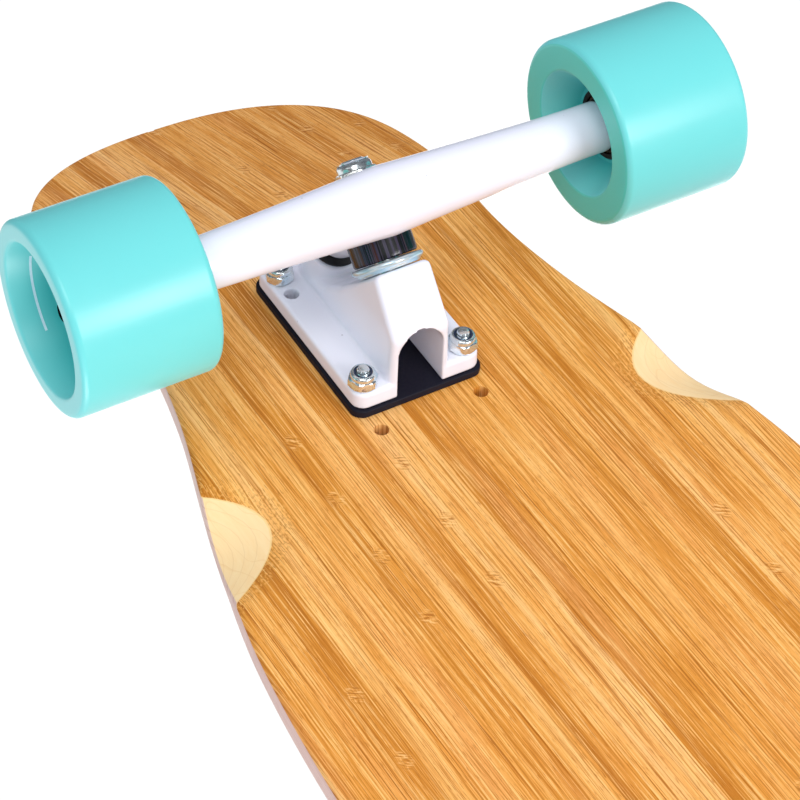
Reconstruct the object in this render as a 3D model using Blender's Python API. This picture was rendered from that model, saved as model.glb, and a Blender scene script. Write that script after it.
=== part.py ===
"""Double-kick longboard on two reverse-kingpin trucks, standing on its four wheels.

World frame: +X towards the front tip, +Y to the rider's left, +Z up. The origin is on the
ground, under the middle of the board.

Each truck has a frame of its own, with its origin on the deck's underside at the centre of
the bolt pattern: x towards the nearer tip, y across the board and z down, away from the
deck. All truck sizes below are in that frame.
"""

import math

import bmesh
import bpy
from mathutils import Matrix, Vector

MM = 0.001
GAP = 0.3 * MM  # between faces that touch on the real board

# Deck, measured from a truck's centre towards the nearer tip where a place is given.
DECK_LENGTH = 1118 * MM
DECK_THICKNESS = 10.5 * MM
DECK_EDGE = 2.5 * MM  # bevel on the deck's edges
WHEELBASE = 743 * MM
NOSE_REACH = (DECK_LENGTH - WHEELBASE) / 2
NOSE_START = 105 * MM  # the widest place of the nose, where its rounding starts
NOSE_HALF_WIDTH = 78.5 * MM
NOSE_FULLNESS = (2.5, 2.4)  # exponents of the nose's rounding
HALF_WIDTHS = (
    (-WHEELBASE / 2, 114 * MM),
    (-200 * MM, 113.4 * MM),
    (-120 * MM, 108.3 * MM),
    (-60 * MM, 96 * MM),
    (-5 * MM, 81.5 * MM),
    (40 * MM, 75.5 * MM),
    (NOSE_START, NOSE_HALF_WIDTH),
)
KICK_START = 48 * MM
KICK_RADIUS = 120 * MM
KICK_ANGLE = math.radians(18)

# Scoops in the underside's edges that clear the wheels.
WELL_X = -65 * MM
WELL_TIP_Y = 67.5 * MM
WELL_CURVE = 30 * MM  # the outline's parabola: across squared = curve times depth from the tip
WELL_SLOPE = 0.10
WELL_DISH = 5.5  # extra depth per square metre from the tip
WELL_FLOOR = 2.1 * MM  # wood left at the edge, at least

GRIP_THICKNESS = 0.8 * MM
GRIP_INSET = 1.2 * MM

# Mounting hardware: four bolts a truck, in the usual pattern.
BOLT_X = 31.75 * MM
BOLT_Y = 20.64 * MM
BOLT_RADIUS = 2.4 * MM
BOLT_HEAD_RADIUS = 4.6 * MM
BOLT_HEAD_HEIGHT = 3.6 * MM
BOLT_TIP_Z = 18.5 * MM
HOLE_RADIUS = 2.8 * MM
SPARE_DECK_HOLE_X = -45.95 * MM
SPARE_PLATE_HOLE_X = 22.2 * MM
MOUNT_NUT_ACROSS = 10.1 * MM
MOUNT_NUT_HEIGHT = 6.1 * MM

# Riser pad and baseplate, from low x to high x.
RISER_X = (-38.5 * MM, 42.5 * MM)
RISER_HALF_WIDTH = 26.8 * MM
RISER_TOP_Z = 3.2 * MM
PLATE_X = (-37.5 * MM, 41.5 * MM)
PLATE_HALF_WIDTH = 26 * MM
PLATE_Z = (RISER_TOP_Z + GAP, 10.5 * MM)
CORNER_RADIUS = 5 * MM
TENT_HALF_WIDTH = 12.5 * MM  # the baseplate's raised middle, at the flange
TENT_DRAFT = 0.03
TUNNEL_HALF_WIDTH = 9.2 * MM
TUNNEL_SPRING_Z = 22.5 * MM
TUNNEL_END_X = -11 * MM

# Kingpin line, and places along it counted from the foot of the board-side bushing.
KINGPIN_FOOT = Vector((-10.5, 0, 44.3)) * MM
KINGPIN_TILT = math.radians(45)
KINGPIN_RADIUS = 4.76 * MM
KINGPIN_HEAD = (-16.6 * MM, -10.5 * MM)
KINGPIN_TIP = 37.8 * MM
KINGPIN_HEX_ACROSS = 14.3 * MM
SEAT = -3.9 * MM
POCKET = -10.2 * MM  # where the kingpin head's pocket ends
POCKET_RADIUS = 8.7 * MM
BOARD_WASHER = (-3.6 * MM, 0)
BOARD_BUSHING = (0.3 * MM, 12.7 * MM)
RING = (13 * MM, 19.4 * MM)
ROAD_BUSHING = (19.7 * MM, 27.9 * MM)
ROAD_WASHER = (28.2 * MM, 29.7 * MM)
KINGPIN_NUT = (30 * MM, 37.1 * MM)
BUSHING_RADIUS = 12 * MM
ROAD_BUSHING_RADII = (10.2 * MM, 9 * MM)
BOARD_WASHER_RADIUS = 13.5 * MM
ROAD_WASHER_RADIUS = 8.8 * MM
LOOSE_BORE = 5.1 * MM

# Steering axis: it passes through the middle of the hanger's ring and down to the pivot.
RING_CENTRE_ALONG = 16.5 * MM
STEER_TILT = math.radians(50)
RING_RADIUS = 15.5 * MM
RING_BORE = 8 * MM
CUP_LIP = (36.6 * MM, 38.4 * MM)  # distances from the ring's centre
CUP_LIP_RADIUS = 11 * MM
CUP_FLOOR = (46.4 * MM, 47.2 * MM)
PIVOT_RIM = 38.8 * MM
PIVOT_BOSS_RADIUS = 12.4 * MM
PIVOT_BOSS_FOOT_X = 28.9 * MM

# Axle, wheels and bearings. Places across the board are from its middle.
AXLE_X = -7.1 * MM
AXLE_Z = 69.4 * MM
AXLE_RADIUS = 3.97 * MM
AXLE_HALF_LENGTH = 124.3 * MM
AXLE_BORE = 4.27 * MM
BEAM = ((0, 12.8 * MM), (50 * MM, 10 * MM), (90 * MM, 9.5 * MM))  # place, radius
WHEEL_RADIUS = 35 * MM
WHEEL_HALF_WIDTH = 26 * MM
WHEEL_Y = 105.5 * MM
WHEEL_LIP_ROUND = 2.6 * MM
WHEEL_FLATS = 26  # facets of the tread, one of which lies on the ground
BEARING_RADIUS = 11 * MM
BEARING_OPENING = 6.9 * MM
BEARING_WIDTH = 7 * MM
BEARING_Y = (94.7 * MM, 111.7 * MM)
INNER_RACE_RADIUS = 6 * MM
SPACER_RADIUS = 5 * MM
SLEEVE_Y = (90.5 * MM, 115.9 * MM)
AXLE_NUT_ACROSS = 12.7 * MM
AXLE_NUT_Y = (116.2 * MM, 122 * MM)

DECK_UNDERSIDE = WHEEL_RADIUS + AXLE_Z

KINGPIN_AXIS = Vector((math.cos(KINGPIN_TILT), 0, math.sin(KINGPIN_TILT)))
STEER_AXIS = Vector((-math.cos(STEER_TILT), 0, math.sin(STEER_TILT)))
RING_CENTRE = KINGPIN_FOOT + RING_CENTRE_ALONG * KINGPIN_AXIS
ACROSS = Vector((0, 1, 0))


# ---------------------------------------------------------------- scene helpers


def clear_scene():
    for thing in list(bpy.data.objects):
        bpy.data.objects.remove(thing)


def material(name, colour, roughness, metallic=0.0):
    made = bpy.data.materials.new(name)
    made.use_nodes = True
    shader = made.node_tree.nodes["Principled BSDF"]
    shader.inputs["Base Color"].default_value = (*colour, 1)
    shader.inputs["Roughness"].default_value = roughness
    shader.inputs["Metallic"].default_value = metallic
    made.diffuse_color = (*colour, 1)
    return made


def placed(origin, direction):
    """A matrix that puts local Z along the direction and the local origin at the origin."""
    turn = Vector(direction).to_track_quat("Z", "X").to_matrix().to_4x4()
    return Matrix.Translation(origin) @ turn


def add(name, mesh, finish, parent=None, matrix=None, smooth=True):
    if smooth:
        mesh.shade_smooth()
        mesh.set_sharp_from_angle(angle=math.radians(32))
    made = bpy.data.objects.new(name, mesh)
    bpy.context.scene.collection.objects.link(made)
    if finish and not mesh.materials:
        mesh.materials.append(finish)
    made.parent = parent
    made.matrix_local = matrix or Matrix.Identity(4)
    return made


def helper(name, mesh, parent=None, matrix=None):
    """A cutter, or a shape that is joined to another."""
    made = add(name, mesh, None, parent, matrix, smooth=False)
    made.hide_render = True
    made.display_type = "WIRE"
    return made


def boolean(target, operation, other):
    step = target.modifiers.new(other.name, "BOOLEAN")
    step.operation = operation
    step.solver = "EXACT"
    step.object = other


# ---------------------------------------------------------------- mesh helpers


def mesh_of(name, body):
    bmesh.ops.recalc_face_normals(body, faces=body.faces)
    made = bpy.data.meshes.new(name)
    body.to_mesh(made)
    body.free()
    return made


def skin(body, loops, closed=False):
    """Faces between loops of equally many points, with flat ends unless the last meets the first."""
    rows = [[body.verts.new(point) for point in loop] for loop in loops]
    count = len(rows[0])
    for lower, upper in zip(rows, rows[1:] + rows[:1] if closed else rows[1:]):
        for k in range(count):
            after = (k + 1) % count
            body.faces.new((lower[k], lower[after], upper[after], upper[k]))
    if not closed:
        body.faces.new(rows[0])
        body.faces.new(rows[-1])


def ring(radius, height, steps, flats=0):
    """Points round local Z. With flats, the radius is to the middle of each flat."""
    points = []
    for k in range(steps):
        angle = 2 * math.pi * k / steps
        reach = radius
        if flats:
            part = 2 * math.pi / flats
            reach = radius / math.cos(angle % part - part / 2)
        points.append((reach * math.cos(angle), reach * math.sin(angle), height))
    return points


def turned(name, outline, steps, flats=0):
    """A solid turned round local Z from (radius, height) pairs.

    An outline that starts and ends on the axis is solid there. Any other is closed on itself,
    and has a bore. With flats, the widest rings are hexagons.
    """
    widest = max(radius for radius, _ in outline)
    body = bmesh.new()
    solid = outline[0][0] == 0
    loops = [
        ring(radius, height, steps, flats if radius == widest else 0)
        for radius, height in (outline[1:-1] if solid else outline)
    ]
    skin(body, loops, closed=not solid)
    return mesh_of(name, body)


def prism(name, outline, half_width, draft=0.0):
    """An (x, z) outline, as wide as its height leaves after the draft."""
    body = bmesh.new()
    low = min(z for _, z in outline)
    sides = [
        [(x, side * (half_width - draft * (z - low)), z) for x, z in outline]
        for side in (-1, 1)
    ]
    skin(body, sides)
    return mesh_of(name, body)


def rounded_plate(name, x_range, half_width, z_range, radius, steps=3):
    outline = []
    middles = (
        (x_range[1] - radius, half_width - radius, 0),
        (x_range[0] + radius, half_width - radius, 1),
        (x_range[0] + radius, radius - half_width, 2),
        (x_range[1] - radius, radius - half_width, 3),
    )
    for x, y, quarter in middles:
        for k in range(steps + 1):
            angle = (quarter + k / steps) * math.pi / 2
            outline.append((x + radius * math.cos(angle), y + radius * math.sin(angle)))
    body = bmesh.new()
    skin(body, [[(x, y, z) for x, y in outline] for z in z_range])
    return mesh_of(name, body)


def posts(name, places, outline, steps=12):
    """Several turned cutters in one mesh, at (x, y) places."""
    body = bmesh.new()
    for x, y in places:
        loops = [
            [(x + px, y + py, height) for px, py, _ in ring(radius, 0, steps)]
            for radius, height in outline
        ]
        skin(body, loops)
    return mesh_of(name, body)


# ---------------------------------------------------------------- deck


def half_width(place):
    """Half the deck's width at a place measured from a truck towards its tip."""
    if place >= NOSE_START:
        share = (place - NOSE_START) / (NOSE_REACH - NOSE_START)
        first, second = NOSE_FULLNESS
        return NOSE_HALF_WIDTH * (1 - min(share, 1) ** first) ** (1 / second)
    spots = HALF_WIDTHS
    slopes = [0.0]
    for before, after in zip(spots, spots[2:]):
        slopes.append((after[1] - before[1]) / (after[0] - before[0]))
    slopes.append(0.0)
    index = max(k for k in range(len(spots) - 1) if spots[k][0] <= place + 1e-9)
    (x0, w0), (x1, w1) = spots[index], spots[index + 1]
    span = x1 - x0
    t = (place - x0) / span
    rise = (3 - 2 * t) * t * t
    bend = t * (1 - t) * ((1 - t) * slopes[index] - t * slopes[index + 1]) * span
    return w0 + (w1 - w0) * rise + bend


def kick(place):
    """How far the underside has risen at a place, and how steep it is there."""
    bend_end = KICK_START + KICK_RADIUS * math.sin(KICK_ANGLE)
    if place <= KICK_START:
        return 0.0, 0.0
    if place < bend_end:
        angle = math.asin((place - KICK_START) / KICK_RADIUS)
        return KICK_RADIUS * (1 - math.cos(angle)), angle
    lift = KICK_RADIUS * (1 - math.cos(KICK_ANGLE))
    return lift + (place - bend_end) * math.tan(KICK_ANGLE), KICK_ANGLE


def well_depth(place, y):
    inward = abs(y) - WELL_TIP_Y - (place - WELL_X) ** 2 / WELL_CURVE
    if inward <= 0:
        return 0.0
    return WELL_SLOPE * inward + WELL_DISH * inward**2


def stations():
    """Places along the board, in world x, close together at the noses and at the wells."""
    nose = [
        NOSE_START + (NOSE_REACH - NOSE_START) * math.sin(math.radians(angle))
        for angle in (87, 77, 64, 50, 34)
    ]
    kicked = [NOSE_START - 12 * MM * k for k in range(6)]
    waist = [20 * MM, -5 * MM, -24 * MM]
    wells = [-32 * MM - 8 * MM * k for k in range(9)]
    middle = [-115 * MM, -150 * MM, -200 * MM, -280 * MM]
    places = nose + kicked + waist + wells + middle
    front = [place + WHEELBASE / 2 for place in places]
    return [-x for x in front] + [0.0] + front[::-1]


def deck_point(x, y, depth):
    """A world point at a depth of wood above the underside."""
    place = abs(x) - WHEELBASE / 2
    rise, angle = kick(place)
    side = math.copysign(1, x)
    return (
        x - side * depth * math.sin(angle),
        y,
        DECK_UNDERSIDE + rise + depth * math.cos(angle),
    )


def deck_mesh():
    columns = (-1, -0.9, -0.79, -0.65, -0.3, 0.3, 0.65, 0.79, 0.9, 1)
    most = DECK_THICKNESS - WELL_FLOOR
    body = bmesh.new()
    loops = []
    for x in stations():
        place = abs(x) - WHEELBASE / 2
        wide = half_width(place)
        flat = wide - DECK_EDGE
        scoop = [min(well_depth(place, flat * c), most) for c in columns]
        low_edge = max(DECK_EDGE, min(well_depth(place, wide), most) + 0.3 * MM)
        high_edge = max(DECK_THICKNESS - DECK_EDGE, low_edge + 0.6 * MM)
        section = [(flat * c, depth) for c, depth in zip(columns, scoop)]
        section += [(wide, low_edge), (wide, high_edge)]
        section += [(flat * c, DECK_THICKNESS) for c in (1, 0.4, -0.4, -1)]
        section += [(-wide, high_edge), (-wide, low_edge)]
        loops.append([deck_point(x, y, depth) for y, depth in section])
    skin(body, loops)
    return mesh_of("deck", body)


def grip_mesh():
    low = DECK_THICKNESS + GAP
    body = bmesh.new()
    loops = []
    for x in stations()[1:-1]:
        wide = half_width(abs(x) - WHEELBASE / 2) - DECK_EDGE - GRIP_INSET
        section = [(side * wide, low) for side in (-1, 1)]
        section += [(side * wide, low + GRIP_THICKNESS) for side in (1, -1)]
        loops.append([deck_point(x, y, depth) for y, depth in section])
    skin(body, loops)
    return mesh_of("grip_tape", body)


def bolt_places():
    return [(x, y) for x in (-BOLT_X, BOLT_X) for y in (-BOLT_Y, BOLT_Y)]


def deck_hole_places(spares):
    """World (x, y) of the deck's holes, for both trucks."""
    xs = [SPARE_DECK_HOLE_X] if spares else [-BOLT_X, BOLT_X]
    return [
        (end * (WHEELBASE / 2 + x), side * BOLT_Y)
        for end in (-1, 1)
        for x in xs
        for side in (-1, 1)
    ]


def add_deck(wood, grit):
    top = DECK_UNDERSIDE + DECK_THICKNESS
    clear = 0.4 * MM
    head_base = top + GAP + GRIP_THICKNESS - BOLT_HEAD_HEIGHT
    countersunk = [
        (HOLE_RADIUS, DECK_UNDERSIDE - 5 * MM),
        (HOLE_RADIUS, head_base - clear),
        (BOLT_HEAD_RADIUS + clear, top - clear),
        (BOLT_HEAD_RADIUS + clear, top + 5 * MM),
    ]
    straight = [(HOLE_RADIUS, DECK_UNDERSIDE - 5 * MM), (HOLE_RADIUS, top + 5 * MM)]
    bolt_holes = helper("bolt_holes", posts("bolt_holes", deck_hole_places(False), countersunk))
    spare_holes = helper("spare_holes", posts("spare_holes", deck_hole_places(True), straight))
    deck = add("deck", deck_mesh(), wood)
    grip = add("grip_tape", grip_mesh(), grit)
    for piece in (deck, grip):
        boolean(piece, "DIFFERENCE", bolt_holes)
    boolean(deck, "DIFFERENCE", spare_holes)


# ---------------------------------------------------------------- truck


def along_kingpin(along, outwards=0.0):
    """(x, z) at a place along the kingpin, and so far from it towards the axle."""
    away = Vector((-KINGPIN_AXIS.z, 0, KINGPIN_AXIS.x))
    point = KINGPIN_FOOT + along * KINGPIN_AXIS + outwards * away
    return point.x, point.z


def kingpin_frame(along=0.0):
    return placed(KINGPIN_FOOT + along * KINGPIN_AXIS, KINGPIN_AXIS)


def tube(name, bore, radii, heights, steps, flats=0):
    outline = [
        (bore, heights[0]),
        (radii[0], heights[0]),
        (radii[1], heights[1]),
        (bore, heights[1]),
    ]
    return turned(name, outline, steps, flats)


def add_baseplate(name, finish, truck):
    flange = rounded_plate(name, PLATE_X, PLATE_HALF_WIDTH, PLATE_Z, CORNER_RADIUS)
    plate = add(f"{name}_baseplate", flange, finish, truck)

    tent_front = PLATE_X[0] + GAP
    tent_outline = [
        (tent_front, PLATE_Z[0] + MM),
        (tent_front, 31 * MM),
        along_kingpin(SEAT, 12.5 * MM),
        along_kingpin(SEAT, -25 * MM),
        (14 * MM, 17 * MM),
        (34 * MM, 12 * MM),
        (34 * MM, PLATE_Z[0] + MM),
    ]
    tent = prism("tent", tent_outline, TENT_HALF_WIDTH, TENT_DRAFT)
    boolean(plate, "UNION", helper(f"{name}_tent", tent, truck))

    rim = placed(RING_CENTRE - PIVOT_RIM * STEER_AXIS, STEER_AXIS)
    rim_loop = [rim @ Vector(p) for p in ring(PIVOT_BOSS_RADIUS, 0, 20)]
    start = min(range(20), key=lambda k: rim_loop[k].x + abs(rim_loop[k].y))
    rim_loop = rim_loop[start:] + rim_loop[:start]
    turn = 1 if rim_loop[5].y > 0 else -1
    foot_loop = []
    for k in range(20):
        angle = math.pi - turn * 2 * math.pi * k / 20
        foot_x = PIVOT_BOSS_FOOT_X + PIVOT_BOSS_RADIUS * math.cos(angle)
        foot_loop.append((foot_x, PIVOT_BOSS_RADIUS * math.sin(angle), PLATE_Z[0] + 2 * MM))
    boss = bmesh.new()
    skin(boss, [rim_loop, foot_loop])
    boolean(plate, "UNION", helper(f"{name}_boss", mesh_of("boss", boss), truck))

    tunnel_outline = [(-TUNNEL_HALF_WIDTH, 0), (TUNNEL_HALF_WIDTH, 0)]
    for k in range(7):
        angle = math.pi * k / 6
        tunnel_outline.append(
            (
                TUNNEL_HALF_WIDTH * math.cos(angle),
                TUNNEL_SPRING_Z + TUNNEL_HALF_WIDTH * math.sin(angle),
            )
        )
    tunnel = bmesh.new()
    tunnel_ends = (PLATE_X[0] - 5 * MM, TUNNEL_END_X)
    skin(tunnel, [[(x, y, z) for y, z in tunnel_outline] for x in tunnel_ends])
    boolean(plate, "DIFFERENCE", helper(f"{name}_tunnel", mesh_of("tunnel", tunnel), truck))

    hole = [
        (POCKET_RADIUS, -30 * MM),
        (POCKET_RADIUS, POCKET),
        (LOOSE_BORE, POCKET),
        (LOOSE_BORE, 10 * MM),
    ]
    bore = bmesh.new()
    skin(bore, [ring(radius, height, 20) for radius, height in hole])
    bore = helper(f"{name}_kingpin_bore", mesh_of("kingpin_bore", bore), truck, kingpin_frame())
    boolean(plate, "DIFFERENCE", bore)

    socket = bmesh.new()
    depths = ((6.6 * MM, -47.6 * MM), (9 * MM, -PIVOT_RIM), (9 * MM, -PIVOT_RIM + 8 * MM))
    skin(socket, [ring(radius, height, 20) for radius, height in depths])
    socket = helper(
        f"{name}_socket", mesh_of("socket", socket), truck, placed(RING_CENTRE, STEER_AXIS)
    )
    boolean(plate, "DIFFERENCE", socket)

    places = bolt_places() + [(SPARE_PLATE_HOLE_X, y) for y in (-BOLT_Y, BOLT_Y)]
    span = [(HOLE_RADIUS, 0), (HOLE_RADIUS, 15 * MM)]
    holes = helper(f"{name}_plate_holes", posts("plate_holes", places, span), truck)
    boolean(plate, "DIFFERENCE", holes)
    return holes


def add_kingpin_stack(name, look, truck):
    """The kingpin and what is threaded on it, on the kingpin's own line."""
    steel, urethane = look["steel"], look["urethane"]
    across = KINGPIN_HEX_ACROSS / 2
    head = KINGPIN_HEAD[0]
    pin_outline = [
        (0, KINGPIN_HEAD[0] - head),
        (across, KINGPIN_HEAD[0] - head),
        (across, KINGPIN_HEAD[1] - head),
        (KINGPIN_RADIUS, KINGPIN_HEAD[1] - head),
        (KINGPIN_RADIUS, KINGPIN_TIP - MM - head),
        (KINGPIN_RADIUS - MM, KINGPIN_TIP - head),
        (0, KINGPIN_TIP - head),
    ]
    pin = turned("kingpin", pin_outline, 12, flats=6)
    add(f"{name}_kingpin", pin, steel, truck, kingpin_frame(head))
    rounded = 1.2 * MM
    top = BOARD_WASHER[1] - BOARD_WASHER[0]
    washer_outline = [
        (LOOSE_BORE, 0),
        (BOARD_WASHER_RADIUS - rounded, 0),
        (BOARD_WASHER_RADIUS, rounded),
        (BOARD_WASHER_RADIUS, top - rounded),
        (BOARD_WASHER_RADIUS - rounded, top),
        (LOOSE_BORE, top),
    ]
    washer = turned("washer_boardside", washer_outline, 20)
    add(f"{name}_washer_boardside", washer, steel, truck, kingpin_frame(BOARD_WASHER[0]))
    tubes = (
        ("bushing_boardside", (BUSHING_RADIUS,) * 2, BOARD_BUSHING, urethane, 20, 0),
        ("bushing_roadside", ROAD_BUSHING_RADII, ROAD_BUSHING, urethane, 20, 0),
        ("washer_roadside", (ROAD_WASHER_RADIUS,) * 2, ROAD_WASHER, steel, 20, 0),
        ("kingpin_nut", (across,) * 2, KINGPIN_NUT, steel, 12, 6),
    )
    for label, radii, span, finish, steps, flats in tubes:
        made = tube(label, LOOSE_BORE, radii, (0, span[1] - span[0]), steps, flats)
        add(f"{name}_{label}", made, finish, truck, kingpin_frame(span[0]))


def add_pivot_cup(name, finish, truck):
    floor, base = -CUP_FLOOR[0], -CUP_FLOOR[1]
    lip_top, lip_foot = -CUP_LIP[0], -CUP_LIP[1]
    outline = [
        (0, base),
        (6.2 * MM, base),
        (8.6 * MM, lip_foot),
        (CUP_LIP_RADIUS, lip_foot),
        (CUP_LIP_RADIUS, lip_top),
        (6.9 * MM, lip_top),
        (5.6 * MM, floor),
        (0, floor),
    ]
    cup = turned("pivot_cup", outline, 18)
    add(f"{name}_pivot_cup", cup, finish, truck, placed(RING_CENTRE, STEER_AXIS))


def add_hanger(name, look, truck):
    """The hanger turns about the steering axis, so its origin is the ring's centre."""
    middle = placed(RING_CENTRE, STEER_AXIS)
    axle_line = Vector((AXLE_X, 0, AXLE_Z))
    across = placed(axle_line, ACROSS)
    half = [(radius, place) for place, radius in BEAM]
    end = half[-1][1]
    outline = [(0, -end)]
    outline += [(radius, -place) for radius, place in half[:0:-1]]
    outline += half
    outline += [(0, end)]
    beam = turned("hanger", outline, 20)
    beam.transform(middle.inverted() @ across)
    hanger = add(f"{name}_hanger", beam, look["enamel"], truck, middle)

    ring_outline = [(RING_RADIUS - MM, RING[0]), (RING_RADIUS, RING[0] + MM)]
    ring_outline += [(RING_RADIUS, RING[1] - MM), (RING_RADIUS - MM, RING[1])]
    housing = bmesh.new()
    skin(housing, [ring(radius, height, 24) for radius, height in ring_outline])
    housing = helper(f"{name}_ring", mesh_of("ring", housing), truck, kingpin_frame())
    boolean(hanger, "UNION", housing)

    arm = bmesh.new()
    reaches = (
        (11 * MM, 4 * MM),
        (10.5 * MM, 16 * MM),
        (8.3 * MM, 35.9 * MM),
        (6.5 * MM, 36.2 * MM),
        (5.2 * MM, 45 * MM),
        (3.4 * MM, 46.1 * MM),
    )
    skin(arm, [ring(radius, -reach, 20) for radius, reach in reaches])
    arm = helper(f"{name}_arm", mesh_of("arm", arm), truck, middle)
    boolean(hanger, "UNION", arm)

    clearances = (
        (12.4 * MM, -8 * MM),
        (12.4 * MM, RING[0]),
        (RING_BORE, RING[0]),
        (RING_BORE, RING[1]),
        (10.5 * MM, RING[1]),
        (10.5 * MM, 24.5 * MM),
        (13.6 * MM, 24.9 * MM),
        (13.6 * MM, 50 * MM),
    )
    seats = bmesh.new()
    skin(seats, [ring(radius, height, 24) for radius, height in clearances])
    seats = helper(f"{name}_seats", mesh_of("seats", seats), truck, kingpin_frame())
    boolean(hanger, "DIFFERENCE", seats)

    bore = bmesh.new()
    skin(bore, [ring(AXLE_BORE, side * (end + 5 * MM), 16) for side in (-1, 1)])
    bore = helper(f"{name}_axle_bore", mesh_of("axle_bore", bore), truck, across)
    boolean(hanger, "DIFFERENCE", bore)

    thin = AXLE_RADIUS - 0.6 * MM
    axle_outline = [(0, -AXLE_HALF_LENGTH), (thin, -AXLE_HALF_LENGTH)]
    axle_outline += [(AXLE_RADIUS, MM - AXLE_HALF_LENGTH), (AXLE_RADIUS, AXLE_HALF_LENGTH - MM)]
    axle_outline += [(thin, AXLE_HALF_LENGTH), (0, AXLE_HALF_LENGTH)]
    axle = turned("axle", axle_outline, 16)
    add(f"{name}_axle", axle, look["steel"], truck, across)


def wheel_mesh():
    """The outline runs along the bore, then over the outer face and the tread to the inner face."""
    seat = BEARING_RADIUS + GAP
    reach = BEARING_WIDTH / 2 + GAP
    inboard, outboard = (y - WHEEL_Y for y in BEARING_Y)
    rib = 9.8 * MM
    tread = WHEEL_RADIUS / math.cos(math.pi / WHEEL_FLATS)
    edge = WHEEL_HALF_WIDTH
    outline = [
        (seat, inboard - reach),
        (seat, inboard + reach),
        (rib, inboard + reach),
        (rib, outboard - reach),
        (seat, outboard - reach),
        (seat, outboard + reach),
        (21.9 * MM, outboard + reach + 1 * MM),
        (26.9 * MM, edge - 1.8 * MM),
        (28.7 * MM, edge),
    ]
    for k in range(3):
        angle = math.radians(90 - 45 * k)
        outline.append(
            (
                tread + WHEEL_LIP_ROUND * (math.cos(angle) - 1),
                edge + WHEEL_LIP_ROUND * (math.sin(angle) - 1),
            )
        )
    outline += [(radius, -height) for radius, height in outline[-1:-4:-1]]
    outline += [(24.5 * MM, -edge), (23.2 * MM, 1.2 * MM - edge), (13 * MM, inboard - reach)]
    wheel = turned("wheel", outline, WHEEL_FLATS)
    wheel.transform(Matrix.Rotation(math.pi / WHEEL_FLATS, 4, "Z"))
    return wheel


def add_wheel_set(corner, side, look, truck):
    """One end of an axle. Local Z points away from the board's middle."""
    def frame(y):
        return placed(Vector((AXLE_X, side * y, AXLE_Z)), side * ACROSS)

    add(f"{corner}_wheel", wheel_mesh(), look["wheel"], truck, frame(WHEEL_Y))

    half = BEARING_WIDTH / 2
    for label, y in zip(("inboard", "outboard"), BEARING_Y):
        race = tube("bearing", BEARING_OPENING, (BEARING_RADIUS,) * 2, (-half, half), 20)
        add(f"{corner}_bearing_{label}", race, look["race"], truck, frame(y))

    low, high = (y - WHEEL_Y for y in SLEEVE_Y)
    waist_low = BEARING_Y[0] + half - WHEEL_Y
    waist_high = BEARING_Y[1] - half - WHEEL_Y
    sleeve_outline = [
        (AXLE_BORE, low),
        (INNER_RACE_RADIUS, low),
        (INNER_RACE_RADIUS, waist_low),
        (SPACER_RADIUS, waist_low),
        (SPACER_RADIUS, waist_high),
        (INNER_RACE_RADIUS, waist_high),
        (INNER_RACE_RADIUS, high),
        (AXLE_BORE, high),
    ]
    sleeve = turned("bearing_sleeve", sleeve_outline, 16)
    add(f"{corner}_bearing_sleeve", sleeve, look["steel"], truck, frame(WHEEL_Y))

    height = AXLE_NUT_Y[1] - AXLE_NUT_Y[0]
    nut = tube("axle_nut", AXLE_BORE, (AXLE_NUT_ACROSS / 2,) * 2, (0, height), 12, 6)
    add(f"{corner}_axle_nut", nut, look["steel"], truck, frame(AXLE_NUT_Y[0]))


def add_mounting(name, steel, truck):
    head_top = DECK_THICKNESS + GAP + GRIP_THICKNESS
    bolt_outline = [
        (0, -head_top),
        (BOLT_HEAD_RADIUS, -head_top),
        (BOLT_HEAD_RADIUS, MM - head_top),
        (BOLT_RADIUS, BOLT_HEAD_HEIGHT - head_top),
        (BOLT_RADIUS, BOLT_TIP_Z - 0.6 * MM),
        (BOLT_RADIUS - 0.6 * MM, BOLT_TIP_Z),
        (0, BOLT_TIP_Z),
    ]
    nut_foot = PLATE_Z[1] + GAP
    for number, (x, y) in enumerate(bolt_places(), 1):
        here = Matrix.Translation((x, y, 0))
        bolt = turned("mount_bolt", bolt_outline, 12)
        add(f"{name}_mount_bolt_{number}", bolt, steel, truck, here)
        nut = tube(
            "mount_nut",
            BOLT_RADIUS + GAP,
            (MOUNT_NUT_ACROSS / 2,) * 2,
            (nut_foot, nut_foot + MOUNT_NUT_HEIGHT),
            12,
            6,
        )
        add(f"{name}_mount_nut_{number}", nut, steel, truck, here)


def add_truck(name, end, look):
    """end is 1 for the front truck and -1 for the rear one, which faces the other way."""
    truck = bpy.data.objects.new(f"{name}_truck", None)
    bpy.context.scene.collection.objects.link(truck)
    facing = Matrix.Rotation(0 if end > 0 else math.pi, 4, "Z")
    spot = Matrix.Translation((end * WHEELBASE / 2, 0, DECK_UNDERSIDE))
    truck.matrix_world = spot @ facing @ Matrix.Rotation(math.pi, 4, "X")

    holes = add_baseplate(name, look["enamel"], truck)
    pad = rounded_plate("riser", RISER_X, RISER_HALF_WIDTH, (GAP, RISER_TOP_Z), CORNER_RADIUS)
    riser = add(f"{name}_riser_pad", pad, look["rubber"], truck)
    boolean(riser, "DIFFERENCE", holes)
    add_kingpin_stack(name, look, truck)
    add_pivot_cup(name, look["cup"], truck)
    add_hanger(name, look, truck)
    add_mounting(name, look["steel"], truck)
    for side in (-1, 1):
        hand = "left" if side * end < 0 else "right"
        add_wheel_set(f"{name}_{hand}", side, look, truck)


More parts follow.
